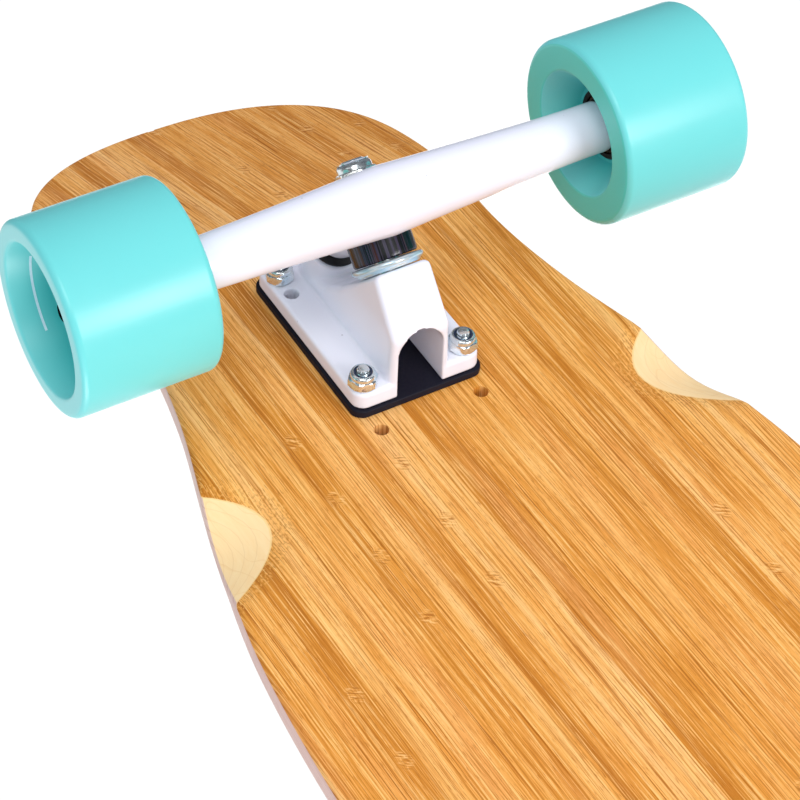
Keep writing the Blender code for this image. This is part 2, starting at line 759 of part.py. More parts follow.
def main():
    clear_scene()
    look = {
        "enamel": material("white_enamel", (0.86, 0.87, 0.9), 0.25),
        "steel": material("zinc_steel", (0.62, 0.66, 0.7), 0.25, 1.0),
        "race": material("bearing_steel", (0.05, 0.05, 0.055), 0.4, 0.4),
        "urethane": material("black_urethane", (0.012, 0.012, 0.014), 0.12),
        "wheel": material("teal_urethane", (0.14, 0.75, 0.62), 0.3),
        "rubber": material("riser_rubber", (0.015, 0.015, 0.017), 0.65),
        "cup": material("cup_plastic", (0.02, 0.02, 0.022), 0.5),
    }
    add_deck(
        material("bamboo", (0.6, 0.3, 0.09), 0.35),
        material("grip", (0.02, 0.02, 0.02), 0.95),
    )
    add_truck("front", 1, look)
    add_truck("rear", -1, look)


main()
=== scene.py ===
"""Looks for the longboard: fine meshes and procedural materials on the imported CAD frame.

World frame: +X towards the front tip, +Y to the rider's left, +Z up, ground at z = 0. Each
truck has a frame of its own, with its origin on the deck's underside at the centre of its
bolts: x towards the nearer tip, y across the board and z down, away from the deck.
"""

import math

import bmesh
import bpy
from mathutils import Matrix, Vector


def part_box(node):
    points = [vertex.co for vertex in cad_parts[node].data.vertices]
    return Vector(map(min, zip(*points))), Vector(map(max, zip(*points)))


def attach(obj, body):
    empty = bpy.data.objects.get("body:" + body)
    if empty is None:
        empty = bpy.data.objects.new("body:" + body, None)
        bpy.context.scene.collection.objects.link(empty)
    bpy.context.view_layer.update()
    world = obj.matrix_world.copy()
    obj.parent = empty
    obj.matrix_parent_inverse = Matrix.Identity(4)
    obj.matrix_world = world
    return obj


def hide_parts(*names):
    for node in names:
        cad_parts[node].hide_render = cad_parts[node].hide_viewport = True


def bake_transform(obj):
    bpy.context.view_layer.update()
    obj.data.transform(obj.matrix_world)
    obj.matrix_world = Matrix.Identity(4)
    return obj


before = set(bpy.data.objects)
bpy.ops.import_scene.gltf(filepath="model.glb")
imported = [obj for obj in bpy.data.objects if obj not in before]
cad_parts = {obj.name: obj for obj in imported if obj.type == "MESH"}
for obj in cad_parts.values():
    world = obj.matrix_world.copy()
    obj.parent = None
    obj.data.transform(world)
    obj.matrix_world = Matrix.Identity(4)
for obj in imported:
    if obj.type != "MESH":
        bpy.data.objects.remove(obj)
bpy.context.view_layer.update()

MM = 0.001
ENDS = {"front": 1, "rear": -1}


def mm(*pairs):
    """Pairs of sizes that are given in millimetres."""
    return [(first * MM, second * MM) for first, second in pairs]


# ---------------------------------------------------------------- sizes read from the frame


def middle(node):
    low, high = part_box(node)
    return (low + high) / 2


def extent(node):
    low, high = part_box(node)
    return high - low


TIP_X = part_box("deck")[1].x
DECK_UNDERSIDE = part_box("deck")[0].z
TRUCK_X = (middle("front_mount_bolt_1").x + middle("front_mount_bolt_3").x) / 2
BOLT_X = abs(middle("front_mount_bolt_3").x - middle("front_mount_bolt_1").x) / 2
BOLT_Y = abs(middle("front_mount_bolt_2").y - middle("front_mount_bolt_1").y) / 2
AXLE_PLACE = middle("front_axle")
WHEEL_RADIUS = AXLE_PLACE.z
WHEEL_Y = middle("front_left_wheel").y
WHEEL_HALF_WIDTH = extent("front_left_wheel").y / 2
BEARING_Y = (middle("front_left_bearing_inboard").y, middle("front_left_bearing_outboard").y)
SLEEVE_Y = [corner.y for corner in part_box("front_left_bearing_sleeve")]
AXLE_NUT_Y = [corner.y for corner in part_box("front_left_axle_nut")]
AXLE_HALF_LENGTH = extent("front_axle").y / 2
_, MOUNT_NUT_ACROSS, MOUNT_NUT_HEIGHT = extent("front_mount_nut_1")
BOLT_TIP_Z = DECK_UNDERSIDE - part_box("front_mount_bolt_1")[0].z

# ---------------------------------------------------------------- sizes

# Deck, measured from a truck's centre towards the nearer tip where a place is given.
DECK_THICKNESS = 10.5 * MM
DECK_EDGE = 2.5 * MM
NOSE_REACH = TIP_X - TRUCK_X
NOSE_START = 105 * MM
NOSE_HALF_WIDTH = 78.5 * MM
NOSE_FULLNESS = (2.5, 2.4)
HALF_WIDTHS = [(-TRUCK_X, 114 * MM)]
HALF_WIDTHS += mm((-200, 113.4), (-120, 108.3), (-60, 96), (-5, 81.5), (40, 75.5))
HALF_WIDTHS += [(NOSE_START, NOSE_HALF_WIDTH)]
KICK_START = 48 * MM
KICK_RADIUS = 120 * MM
KICK_ANGLE = math.radians(18)
WELL_X = -65 * MM
WELL_TIP_Y = 67.5 * MM
WELL_CURVE = 30 * MM
WELL_SLOPE = 0.10
WELL_DISH = 5.5
WELL_FLOOR = 2.1 * MM
WELL_EDGE = 0.9 * MM
GAP = 0.3 * MM
GRIP_THICKNESS = 0.8 * MM
GRIP_INSET = 1.2 * MM
HOLE_RADIUS = 2.8 * MM
SPARE_DECK_HOLE_X = -45.95 * MM
SPARE_PLATE_HOLE_X = 22.2 * MM

# Trucks.
RISER_X, PLATE_X = mm((-38.5, 42.5), (-37.5, 41.5))
RISER_HALF_WIDTH = 26.8 * MM
RISER_TOP_Z = 3.2 * MM
PLATE_HALF_WIDTH = 26 * MM
PLATE_Z = (RISER_TOP_Z + GAP, 10.5 * MM)
CORNER_RADIUS = 5 * MM
TENT_HALF_WIDTH = 12.5 * MM
TENT_DRAFT = 0.03
TUNNEL_HALF_WIDTH = 9.2 * MM
TUNNEL_SPRING_Z = 22.5 * MM
TUNNEL_END_X = -11 * MM
KINGPIN_FOOT = Vector((-10.5, 0, 44.3)) * MM
KINGPIN_AXIS = Vector((math.cos(math.radians(45)), 0, math.sin(math.radians(45))))
STEER_TILT = math.radians(50)
STEER_AXIS = Vector((-math.cos(STEER_TILT), 0, math.sin(STEER_TILT)))
RING_CENTRE = KINGPIN_FOOT + 16.5 * MM * KINGPIN_AXIS
ACROSS = Vector((0, 1, 0))
AXLE_LINE = Vector((AXLE_PLACE.x - TRUCK_X, 0, DECK_UNDERSIDE - AXLE_PLACE.z))
AXLE_RADIUS = 3.97 * MM
PIVOT_BOSS_RADIUS = 12.4 * MM
PIVOT_BOSS_FOOT_X = 28.9 * MM
PIVOT_RIM = 38.8 * MM
KINGPIN_ACROSS = 14.3 * MM
KINGPIN_RADIUS = 4.76 * MM
BOLT_RADIUS = 2.4 * MM
# Each mounting bolt and its nut are turned this much further than the last ones, in radians.
BOLT_TURN = 0.7

# Wheels. A bearing is a 22 by 8 by 7 mm one.
DISH_RADIUS = 24.5 * MM
DISH_HEIGHT = 17.8 * MM
DISH_FLARE = 0.375
STRIPE_HEIGHTS = (17.5 * MM, 18.3 * MM)
STRIPE_ARC = (math.radians(-107), math.radians(-36))
INNER_MOUTH_RADIUS = 24.6 * MM
BEARING_HALF_WIDTH = 3.5 * MM
BEARING_SEAT_RADIUS = 11.3 * MM
BEARING_SEAT_REACH = 3.8 * MM

# Wood grain. In the photograph the deck is turned a little on its trucks, and the skew shows it.
GRAIN_SKEW = math.radians(1.25)
STRIP_WIDTH = 9.5 * MM
NODE_SPACING = 31 * MM
NODE_LENGTH = 5 * MM
PLY = 1.45 * MM

# Points round a turned piece.
ROUND_STEPS = 96
BODY_STEPS = 64
SMALL_STEPS = 48

# Camera, from the front truck's centre.
CAMERA_OFFSET = Vector((-0.6384, -0.3747, -0.7002))
CAMERA_RIGHT = Vector((-0.4948, 0.8685, -0.0299))
CAMERA_UP = Vector((0.6228, 0.3304, -0.7092))
CAMERA_LENS = 124.2
FILL_STRENGTH = 0.76

# The floor lies just under the wheels.
FLOOR_REACH = 9
FLOOR_DROP = 0.2 * MM


# ---------------------------------------------------------------- material nodes


class Nodes:
    """Shader nodes in one tree. Each call adds one or two and returns what they give."""

    def __init__(self, tree):
        self.tree = tree

    def fill(self, socket, value):
        if isinstance(value, bpy.types.NodeSocket):
            self.tree.links.new(value, socket)
        elif socket.type == "RGBA":
            socket.default_value = (*value, 1)
        else:
            socket.default_value = value

    def node(self, kind, inputs, **settings):
        made = self.tree.nodes.new(kind)
        for label, value in settings.items():
            setattr(made, label, value)
        for place, value in inputs.items():
            self.fill(made.inputs[place], value)
        return made

    def parts(self, vector):
        return self.node("ShaderNodeSeparateXYZ", {0: vector}).outputs

    def join(self, x, y, z=0.0):
        return self.node("ShaderNodeCombineXYZ", {0: x, 1: y, 2: z}).outputs[0]

    def scaled(self, vector, scale):
        node = self.node("ShaderNodeVectorMath", {0: vector, 1: scale}, operation="MULTIPLY")
        return node.outputs[0]

    def math(self, operation, first, second=0.0, third=0.0):
        inputs = {0: first, 1: second, 2: third}
        return self.node("ShaderNodeMath", inputs, operation=operation).outputs[0]

    def times(self, first, second):
        return self.math("MULTIPLY", first, second)

    def noise(self, vector, scale=1.0, detail=2.0, roughness=0.5, distortion=0.0):
        inputs = {"Vector": vector, "Scale": scale, "Detail": detail}
        inputs.update({"Roughness": roughness, "Distortion": distortion})
        return self.node("ShaderNodeTexNoise", inputs).outputs[0]

    def streaks(self, vector, scale, detail=1.0, roughness=0.5):
        """Noise with a scale of its own along each axis."""
        return self.noise(self.scaled(vector, scale), 1.0, detail, roughness)

    def random(self, vector):
        return self.node("ShaderNodeTexWhiteNoise", {"Vector": vector}).outputs["Value"]

    def between(self, value, low, high, to=(0.0, 1.0)):
        """0 below low and 1 above high, or the other way when low is above high."""
        inputs = {"Value": value, "From Min": low, "From Max": high}
        inputs.update({"To Min": to[0], "To Max": to[1]})
        node = self.node("ShaderNodeMapRange", inputs, interpolation_type="SMOOTHSTEP")
        return node.outputs[0]

    def mix(self, share, first, second):
        node = self.node("ShaderNodeMix", {}, data_type="RGBA")
        for place, value in ((0, share), (6, first), (7, second)):
            self.fill(node.inputs[place], value)
        return node.outputs[2]

    def ramp(self, share, stops):
        node = self.node("ShaderNodeValToRGB", {0: share})
        points = node.color_ramp.elements
        while len(points) < len(stops):
            points.new(1.0)
        for point, (place, colour) in zip(points, stops):
            point.position = place
            point.color = (*colour, 1)
        return node.outputs[0]

    def layers(self, colour, *layers, within=None):
        """Lays tints over a colour. Each is (value, low, high, share, tint), and covers up to that
        share as the value goes from low to high."""
        for value, low, high, share, tint in layers:
            cover = self.between(value, low, high, (0.0, share))
            if within:
                cover = self.times(within, cover)
            colour = self.mix(cover, colour, tint)
        return colour


class Look(Nodes):
    """A Principled material."""

    def __init__(self, name, **shader_inputs):
        self.material = bpy.data.materials.new(name)
        self.material.use_nodes = True
        super().__init__(self.material.node_tree)
        self.shader = self.tree.nodes["Principled BSDF"]
        for label, value in shader_inputs.items():
            self.set(label.replace("_", " ").title().replace("Ior", "IOR"), value)

    def set(self, label, value):
        self.fill(self.shader.inputs[label], value)

    def position(self, turn=0.0):
        """The piece's own coordinates at rest, in metres, turned about Z."""
        place = self.node("ShaderNodeTexCoord", {}).outputs["Object"]
        if not turn:
            return place
        inputs = {"Vector": place, "Rotation": (0, 0, turn)}
        return self.node("ShaderNodeMapping", inputs).outputs[0]

    def attribute(self, name):
        return self.node("ShaderNodeAttribute", {}, attribute_name=name).outputs["Fac"]

    def bump(self, height, distance, strength):
        inputs = {"Height": height, "Distance": distance, "Strength": strength}
        self.set("Normal", self.node("ShaderNodeBump", inputs).outputs[0])

    def finish(self, colour, roughness=None):
        self.set("Base Color", colour)
        if roughness:
            self.set("Roughness", roughness)
        return self.material


def bamboo_colour(look, place):
    """Strips of split bamboo with fine fibres, hairlines and the marks of its nodes.

    Returns the colour, and the height of the grain for the bump."""
    x, y, _ = look.parts(place)
    wander = look.streaks(place, (6, 6, 0))
    across = look.math("MULTIPLY_ADD", wander, 2.5 * MM, y)
    count = look.math("DIVIDE", across, STRIP_WIDTH)
    number, share = look.math("FLOOR", count), look.math("FRACT", count)
    wide_tone = look.random(look.join(number, 8.0))

    # Bamboo nodes come at even steps along some of the strips.
    along = look.math("MULTIPLY_ADD", wide_tone, 5.0, look.math("DIVIDE", x, NODE_SPACING))
    stretch = look.math("FLOOR", look.math("DIVIDE", along, 4.0))
    chosen = look.math("LESS_THAN", look.random(look.join(stretch, number, 5.0)), 0.09)
    ahead = look.math("SUBTRACT", look.math("FRACT", along), 0.5)
    ahead = look.times(ahead, NODE_SPACING / NODE_LENGTH)
    aside = look.times(look.math("SUBTRACT", share, 0.5), 2.8)
    reach = look.math("ADD", look.times(ahead, ahead), look.times(aside, aside))
    knuckle = look.times(look.between(reach, 1.0, 0.1), chosen)

    # The grain swirls round a node.
    swirl = look.streaks(place, (170, 300, 0), 2.0)
    push = look.times(look.math("SUBTRACT", swirl, 0.5), knuckle)
    grain = look.join(x, look.math("MULTIPLY_ADD", push, 4 * MM, y))

    narrow = look.streaks(grain, (3.5, 175, 0))
    slow = look.streaks(grain, (8, 55, 0), 2.0)
    tone = look.math("MULTIPLY_ADD", look.between(narrow, 0.32, 0.68), 0.26, 0.08)
    tone = look.math("MULTIPLY_ADD", look.between(slow, 0.28, 0.72), 0.13, tone)
    tone = look.math("MULTIPLY_ADD", wide_tone, 0.52, tone)
    tones = (
        (0.10, (0.49, 0.160, 0.015)),
        (0.32, (0.64, 0.238, 0.028)),
        (0.52, (0.77, 0.315, 0.050)),
        (0.72, (0.87, 0.415, 0.100)),
        (0.92, (0.94, 0.540, 0.195)),
    )
    dark, deep, bright = (0.48, 0.155, 0.014), (0.39, 0.110, 0.008), (0.99, 0.60, 0.21)
    hue = look.streaks(place, (9, 90, 7))
    fibres = look.streaks(grain, (26, 1750, 0), 3.0, 0.66)
    colour = look.layers(
        look.ramp(tone, tones),
        (hue, 0.5, 0.75, 0.35, (0.87, 0.395, 0.130)),
        (hue, 0.46, 0.30, 0.25, (0.68, 0.272, 0.028)),
        (fibres, 0.49, 0.64, 0.80, dark),
        (fibres, 0.49, 0.34, 0.72, bright),
    )
    bundles = look.between(look.streaks(grain, (8, 130, 11)), 0.38, 0.62, (0.25, 1.0))
    hairlines = look.streaks(grain, (13, 1200, 5), 2.0, 0.55)
    lines = look.times(look.between(hairlines, 0.59, 0.64, (0.0, 0.85)), bundles)
    colour = look.layers(
        look.mix(lines, colour, deep),
        (hairlines, 0.40, 0.335, 0.55, bright),
        (look.streaks(grain, (210, 3300, 0)), 0.60, 0.72, 0.65, deep),
    )

    slanted = look.node("ShaderNodeMapping", {"Vector": place, "Rotation": (0, 0, 0.95)}).outputs[0]
    strokes = look.streaks(slanted, (240, 1250, 0), 2.0)
    colour = look.mix(look.times(knuckle, 0.35), colour, (0.74, 0.33, 0.07))
    marks = look.times(look.between(strokes, 0.53, 0.60, (0.0, 0.75)), knuckle)
    colour = look.mix(marks, colour, deep)
    marks = look.times(look.between(strokes, 0.46, 0.38, (0.0, 0.6)), knuckle)
    colour = look.mix(marks, colour, (1.0, 0.62, 0.24))

    height = look.math("ADD", look.times(lines, -0.8), fibres)
    return colour, look.math("ADD", height, look.times(marks, 0.8))


def deck_look():
    """Bamboo veneer, the band where a well cuts it at a slant, and the maple core below."""
    look = Look("bamboo_and_maple", specular_ior_level=0.15)
    place = look.position(GRAIN_SKEW)
    colour, height = bamboo_colour(look, place)
    depth, slope = look.attribute("wood_depth"), look.attribute("wood_slope")

    # Cut at a slant, the fibres show as short bright and dark dashes.
    dots = look.streaks(place, (620, 1150, 0))
    cut = look.times(look.between(slope, 0.05, 0.12), look.between(depth, 0.02, 0.22))
    dashes = (
        (dots, 0.52, 0.60, 0.40, (0.46, 0.155, 0.015)),
        (dots, 0.47, 0.38, 0.45, (0.93, 0.47, 0.12)),
    )
    colour = look.layers(colour, *dashes, within=cut)

    # Depths are in millimetres here. Maple is yellow in the wells, and on the sawn side it is painted
    # paler and pinker, which is a painted sheen.
    wavy = look.streaks(place, (40, 40, 40), 2.0)
    layer = look.math("DIVIDE", look.math("MULTIPLY_ADD", wavy, 0.25, depth), PLY / MM)
    joint = look.math("ABSOLUTE", look.math("SUBTRACT", look.math("FRACT", layer), 0.5))
    grain = look.streaks(place, (18, 300, 900), 3.0, 0.6)
    rings = look.math("FRACT", look.times(look.streaks(place, (30, 70, 0)), 5.0))
    maple = look.layers(
        look.mix(grain, (0.95, 0.61, 0.28), (1.0, 0.74, 0.41)),
        (rings, 0.08, 0.0, 0.35, (0.84, 0.50, 0.22)),
        (joint, 0.44, 0.49, 0.3, (0.78, 0.46, 0.22)),
    )
    # A painted sheen: the same maple, paler and pinker on the sawn side than in the wells.
    pale = look.mix(grain, (0.62, 0.40, 0.32), (0.80, 0.58, 0.50))
    pale = look.layers(pale, (joint, 0.40, 0.48, 0.5, (0.42, 0.22, 0.15)))
    core = look.times(look.between(depth, 1.36, 1.44), look.between(depth, 9.9, 9.7))
    colour = look.mix(core, colour, look.mix(look.attribute("deck_side"), maple, pale))
    rim = look.math("ABSOLUTE", look.math("SUBTRACT", depth, 1.47))
    rim = look.times(look.between(rim, 0.10, 0.03, (0.0, 0.7)), slope)
    colour = look.mix(rim, colour, (0.94, 0.60, 0.22))

    look.bump(height, 0.06 * MM, 0.4)
    return look.finish(colour, look.between(height, 0.2, 0.8, (0.34, 0.48)))


def grip_look():
    look = Look("black_grip", roughness=0.86, specular_ior_level=0.35)
    place = look.position()
    grit = look.noise(place, 1500.0, 2.0, 0.7)
    sparkle = look.random(look.scaled(place, (2600, 2600, 2600)))
    colour = look.layers(
        (0.006, 0.006, 0.007),
        (grit, 0.35, 0.7, 1.0, (0.05, 0.05, 0.053)),
        (look.noise(place, 45.0, 3.0), 0.3, 0.8, 0.3, (0.045, 0.044, 0.042)),
        (sparkle, 0.996, 0.999, 0.6, (0.4, 0.4, 0.42)),
    )
    look.bump(grit, 0.35 * MM, 0.9)
    return look.finish(colour)


def enamel_look():
    """White powder coat, with its fine orange peel and a few dust specks."""
    look = Look("white_powder_coat", specular_ior_level=0.5, coat_weight=0.3, coat_roughness=0.12)
    place = look.position()
    cloud = look.noise(place, 35.0, 3.0)
    colour = look.layers(
        look.mix(cloud, (0.83, 0.84, 0.92), (0.87, 0.875, 0.94)),
        (look.noise(place, 420.0, 1.0), 0.80, 0.84, 0.5, (0.35, 0.33, 0.36)),
    )
    look.bump(look.noise(place, 520.0, 2.0), 0.03 * MM, 0.25)
    return look.finish(colour, look.between(cloud, 0.3, 0.7, (0.20, 0.26)))


def zinc_look(name, metallic, cool, warm):
    look = Look(name, metallic=metallic)
    place = look.position()
    tint = look.between(look.noise(place, 130.0, 2.0), 0.3, 0.7)
    fine = look.noise(place, 900.0, 3.0)
    look.bump(fine, 0.02 * MM, 0.3)
    return look.finish(look.mix(tint, cool, warm), look.between(fine, 0.3, 0.75, (0.10, 0.25)))


def brass_look():
    look = Look("yellow_zinc", metallic=1.0)
    fine = look.noise(look.position(), 700.0, 3.0)
    colour = look.mix(fine, (0.62, 0.42, 0.20), (0.80, 0.62, 0.36))
    return look.finish(colour, look.between(fine, 0.3, 0.75, (0.2, 0.36)))


def dark_steel_look(name, shade):
    look = Look(name, metallic=1.0, specular_tint=(0.3, 0.3, 0.3))
    fine = look.noise(look.position(), 800.0, 3.0)
    colour = look.mix(fine, shade, [2.2 * part for part in shade])
    return look.finish(colour, look.between(fine, 0.3, 0.75, (0.28, 0.40)))


def black_urethane_look():
    """Gloss black and faintly fluted, with painted reflections of the room as upright streaks round
    it.
    """
    look = Look("black_bushing", specular_ior_level=0.45)
    around = look.join(look.attribute("around_x"), look.attribute("around_y"))
    flutes_and_reflections = look.noise(around, 7.0, 2.0, 0.75)
    wisps = look.noise(around, 30.0)
    # Painted reflections: the flute and wisp noises lay purple-grey, green-black and brown streaks
    # into the colour; the flutes also drive the bump.
    colour = look.layers(
        (0.002, 0.003, 0.004),
        (flutes_and_reflections, 0.50, 0.54, 1.0, (0.040, 0.035, 0.065)),
        (flutes_and_reflections, 0.40, 0.36, 1.0, (0.003, 0.012, 0.014)),
        (flutes_and_reflections, 0.60, 0.63, 0.9, (0.050, 0.016, 0.008)),
        (wisps, 0.4, 0.7, 0.4, (0.01, 0.01, 0.012)),
    )
    look.bump(flutes_and_reflections, 0.25 * MM, 0.5)
    return look.finish(colour, look.between(wisps, 0.3, 0.7, (0.12, 0.26)))


def black_plastic_look(name, shade, roughness):
    look = Look(name, specular_ior_level=0.25)
    fine = look.noise(look.position(), 900.0, 3.0, 0.6)
    look.bump(fine, 0.08 * MM, 0.5)
    sheen = look.between(fine, 0.3, 0.7, (roughness - 0.08, roughness + 0.08))
    return look.finish(look.mix(fine, shade, [2.1 * part for part in shade]), sheen)


def teal_look():
    """Poured urethane: slightly translucent. Its outer face is paler and its inner face darker and
    greener, partly the urethane's own shades and partly painted light and shade; its rims carry a
    painted highlight, and painted shade deepens into its dishes."""
    look = Look("teal_urethane", specular_ior_level=0.5, subsurface_weight=0.12)
    look.set("Subsurface Scale", 3 * MM)
    look.set("Subsurface Radius", (0.5, 1.0, 1.0))
    place = look.position()
    cloud = look.noise(place, 22.0, 2.0, 0.5, 0.4)
    face, dish = look.attribute("face"), look.attribute("dish")
    # Painted light and shade: the outer face paler, the inner face darker and greener, partly the
    # urethane's own shades.
    colour = look.layers(
        look.mix(cloud, (0.045, 0.53, 0.53), (0.065, 0.58, 0.575)),
        (face, 0.0, 1.0, 0.8, (0.24, 0.68, 0.64)),
        (face, 0.0, -1.0, 0.8, (0.085, 0.58, 0.455)),
    )
    # Painted shade, deepening into the dishes.
    colour = look.mix(look.times(dish, 0.85), colour, (0.018, 0.42, 0.40))
    # A painted highlight on the rims.
    colour = look.mix(look.times(look.attribute("rim"), 0.6), colour, (0.22, 0.70, 0.66))
    specks = look.noise(place, 260.0, 1.0)
    colour = look.layers(colour, (specks, 0.82, 0.86, 0.4, (0.05, 0.30, 0.28)))
    look.bump(look.noise(place, 180.0, 2.0), 0.05 * MM, 0.12)
    sheen = look.between(cloud, 0.3, 0.7, (0.285, 0.33))
    return look.finish(colour, look.math("MULTIPLY_ADD", dish, 0.3, sheen))


def plain_look(name, roughness, scale, first, second):
    look = Look(name, roughness=roughness)
    return look.finish(look.mix(look.noise(look.position(), scale, 2.0), first, second))


# ---------------------------------------------------------------- mesh helpers


def placed(origin, direction):
    """A matrix that puts local Z along the direction and the local origin at the origin."""
    turn = Vector(direction).to_track_quat("Z", "X").to_matrix().to_4x4()
    return Matrix.Translation(origin) @ turn


def linked(name, data, matrix=None):
    made = bpy.data.objects.new(name, data)
    bpy.context.scene.collection.objects.link(made)
    made.matrix_world = matrix or Matrix.Identity(4)
    return made


def mesh_of(name, body):
    bmesh.ops.recalc_face_normals(body, faces=body.faces)
    made = bpy.data.meshes.new(name)
    body.to_mesh(made)
    body.free()
    return made


def skin(body, loops, closed=False):
    """Faces between loops of equally many points, with flat ends unless the last meets the first."""
    rows = [[body.verts.new(point) for point in loop] for loop in loops]
    count = len(rows[0])
    for lower, upper in zip(rows, rows[1:] + rows[:1] if closed else rows[1:]):
        for k in range(count):
            after = (k + 1) % count
            body.faces.new((lower[k], lower[after], upper[after], upper[k]))
    if not closed:
        body.faces.new(rows[0])
        body.faces.new(rows[-1])
    return rows


def solid(name, loops, closed=False):
    body = bmesh.new()
    skin(body, loops, closed)
    return mesh_of(name, body)


def ring(radius, height, steps, flats=0, chamfer=None):
    """Points round local Z. With flats, the radius is to the middle of each flat, and the
    chamfer is the most that a corner may reach."""
    points = []
    for k in range(steps):
        angle = 2 * math.pi * k / steps
        reach = radius
        if flats:
            part = 2 * math.pi / flats
            reach = radius / math.cos(angle % part - part / 2)
            reach = min(reach, chamfer or reach)
        points.append((reach * math.cos(angle), reach * math.sin(angle), height))
    return points


def lathe(name, outline, steps=SMALL_STEPS):
    """A solid turned round local Z from (radius, height) pairs, or (radius, height, flats,
    chamfer). An outline that starts and ends on the axis is solid there, and any other is
    closed on itself, with a bore."""
    loops = [ring(entry[0], entry[1], steps, *entry[2:]) for entry in outline if entry[0] > 0]
    return solid(name, loops, closed=outline[0][0] > 0)


def arc(centre, radius, start, end, steps):
    """(radius, height) pairs on an arc, with its angles in degrees from outwards to upwards."""
    pairs = []
    for k in range(steps + 1):
        angle = math.radians(start + (end - start) * k / steps)
        pairs.append((centre[0] + radius * math.cos(angle), centre[1] + radius * math.sin(angle)))
    return pairs


def piece(name, mesh, finish, matrix=None, angle=32):
    mesh.shade_smooth()
    mesh.set_sharp_from_angle(angle=math.radians(angle))
    mesh.materials.clear()
    mesh.materials.append(finish)
    return linked(name, mesh, matrix)


def stand_in(node, mesh, finish, body, matrix=None, angle=32):
    """A fine piece that is shown in the place of a CAD node."""
    made = piece(f"{node}_fine", mesh, finish, matrix, angle)
    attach(made, body)
    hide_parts(node)
    return made


def combined(start, steps, remesh=None, smoothing=0):
    """The mesh left after Booleans on it, and after a remesh that rounds its edges.

    steps is a list of (operation, mesh, matrix). The tools are removed afterwards."""
    base = linked("base", start)
    tools = []
    for operation, mesh, matrix in steps:
        tool = linked(mesh.name, mesh, matrix)
        tools.append(tool)
        change = base.modifiers.new(mesh.name, "BOOLEAN")
        change.operation = operation
        change.solver = "EXACT"
        change.object = tool
    if remesh:
        cells = base.modifiers.new("cells", "REMESH")
        cells.mode = "VOXEL"
        cells.voxel_size = remesh
        round_off = base.modifiers.new("round_off", "SMOOTH")
        round_off.factor = 0.5
        round_off.iterations = smoothing
    bpy.context.view_layer.update()
    graph = bpy.context.evaluated_depsgraph_get()
    made = bpy.data.meshes.new_from_object(base.evaluated_get(graph))
    for tool in [base, *tools]:
        bpy.data.objects.remove(tool)
    return made


def prism(name, outline, half_width, draft):
    low = min(z for _, z in outline)
    wide = [half_width - draft * (z - low) for _, z in outline]
    return solid(name, [[(x, s * y, z) for (x, z), y in zip(outline, wide)] for s in (-1, 1)])


def rounded_outline(x_range, half_width, radius, steps=8):
    right, left, side = x_range[1] - radius, x_range[0] + radius, half_width - radius
    outline = []
    for quarter, (x, y) in enumerate(((right, side), (left, side), (left, -side), (right, -side))):
        for k in range(steps + 1):
            angle = (quarter + k / steps) * math.pi / 2
            outline.append((x + radius * math.cos(angle), y + radius * math.sin(angle)))
    return outline


def rounded_plate(name, x_range, half_width, z_range, corner, edge, draft=0.0):
    """A plate whose far rim, at the higher z, is rounded off, and whose sides may lean in."""
    levels = [(0.3 * edge, z_range[0]), (0.0, z_range[0] + 0.3 * edge)]
    for k in range(5):
        angle = math.pi / 2 * k / 4
        inset = edge * (1 - math.cos(angle)) + draft
        levels.append((inset, z_range[1] - edge * (1 - math.sin(angle))))
    loops = []
    for inset, z in levels:
        spans = (x_range[0] + inset, x_range[1] - inset)
        outline = rounded_outline(spans, half_width - inset, corner - inset)
        loops.append([(x, y, z) for x, y in outline])
    return solid(name, loops)


def posts(name, places, outline, steps=24):
    body = bmesh.new()
    for x, y in places:
        loops = [[(x + px, y + py, h) for px, py, _ in ring(r, 0, steps)] for r, h in outline]
        skin(body, loops)
    return mesh_of(name, body)


# ---------------------------------------------------------------- deck


def half_width(place):
    if place >= NOSE_START:
        share = (place - NOSE_START) / (NOSE_REACH - NOSE_START)
        first, second = NOSE_FULLNESS
        return NOSE_HALF_WIDTH * (1 - min(share, 1) ** first) ** (1 / second)
    spots = HALF_WIDTHS
    slopes = [0.0]
    for before, after in zip(spots, spots[2:]):
        slopes.append((after[1] - before[1]) / (after[0] - before[0]))
    slopes.append(0.0)
    index = max(k for k in range(len(spots) - 1) if spots[k][0] <= place + 1e-9)
    (x0, w0), (x1, w1) = spots[index], spots[index + 1]
    span = x1 - x0
    t = (place - x0) / span
    rise = (3 - 2 * t) * t * t
    bend = t * (1 - t) * ((1 - t) * slopes[index] - t * slopes[index + 1]) * span
    return w0 + (w1 - w0) * rise + bend


def kick(place):
    bend_end = KICK_START + KICK_RADIUS * math.sin(KICK_ANGLE)
    if place <= KICK_START:
        return 0.0, 0.0
    if place < bend_end:
        angle = math.asin((place - KICK_START) / KICK_RADIUS)
        return KICK_RADIUS * (1 - math.cos(angle)), angle
    lift = KICK_RADIUS * (1 - math.cos(KICK_ANGLE))
    return lift + (place - bend_end) * math.tan(KICK_ANGLE), KICK_ANGLE


def well_depth(place, y):
    inward = abs(y) - WELL_TIP_Y - (place - WELL_X) ** 2 / WELL_CURVE
    if inward <= 0:
        return 0.0
    depth = WELL_SLOPE * inward + WELL_DISH * inward**2
    return min(depth, DECK_THICKNESS - WELL_FLOOR)


def deck_point(x, y, depth):
    """A world point at a depth of wood above the underside."""
    rise, angle = kick(abs(x) - TRUCK_X)
    side = math.copysign(1, x)
    x_shift = side * depth * math.sin(angle)
    return (x - x_shift, y, DECK_UNDERSIDE + rise + depth * math.cos(angle))


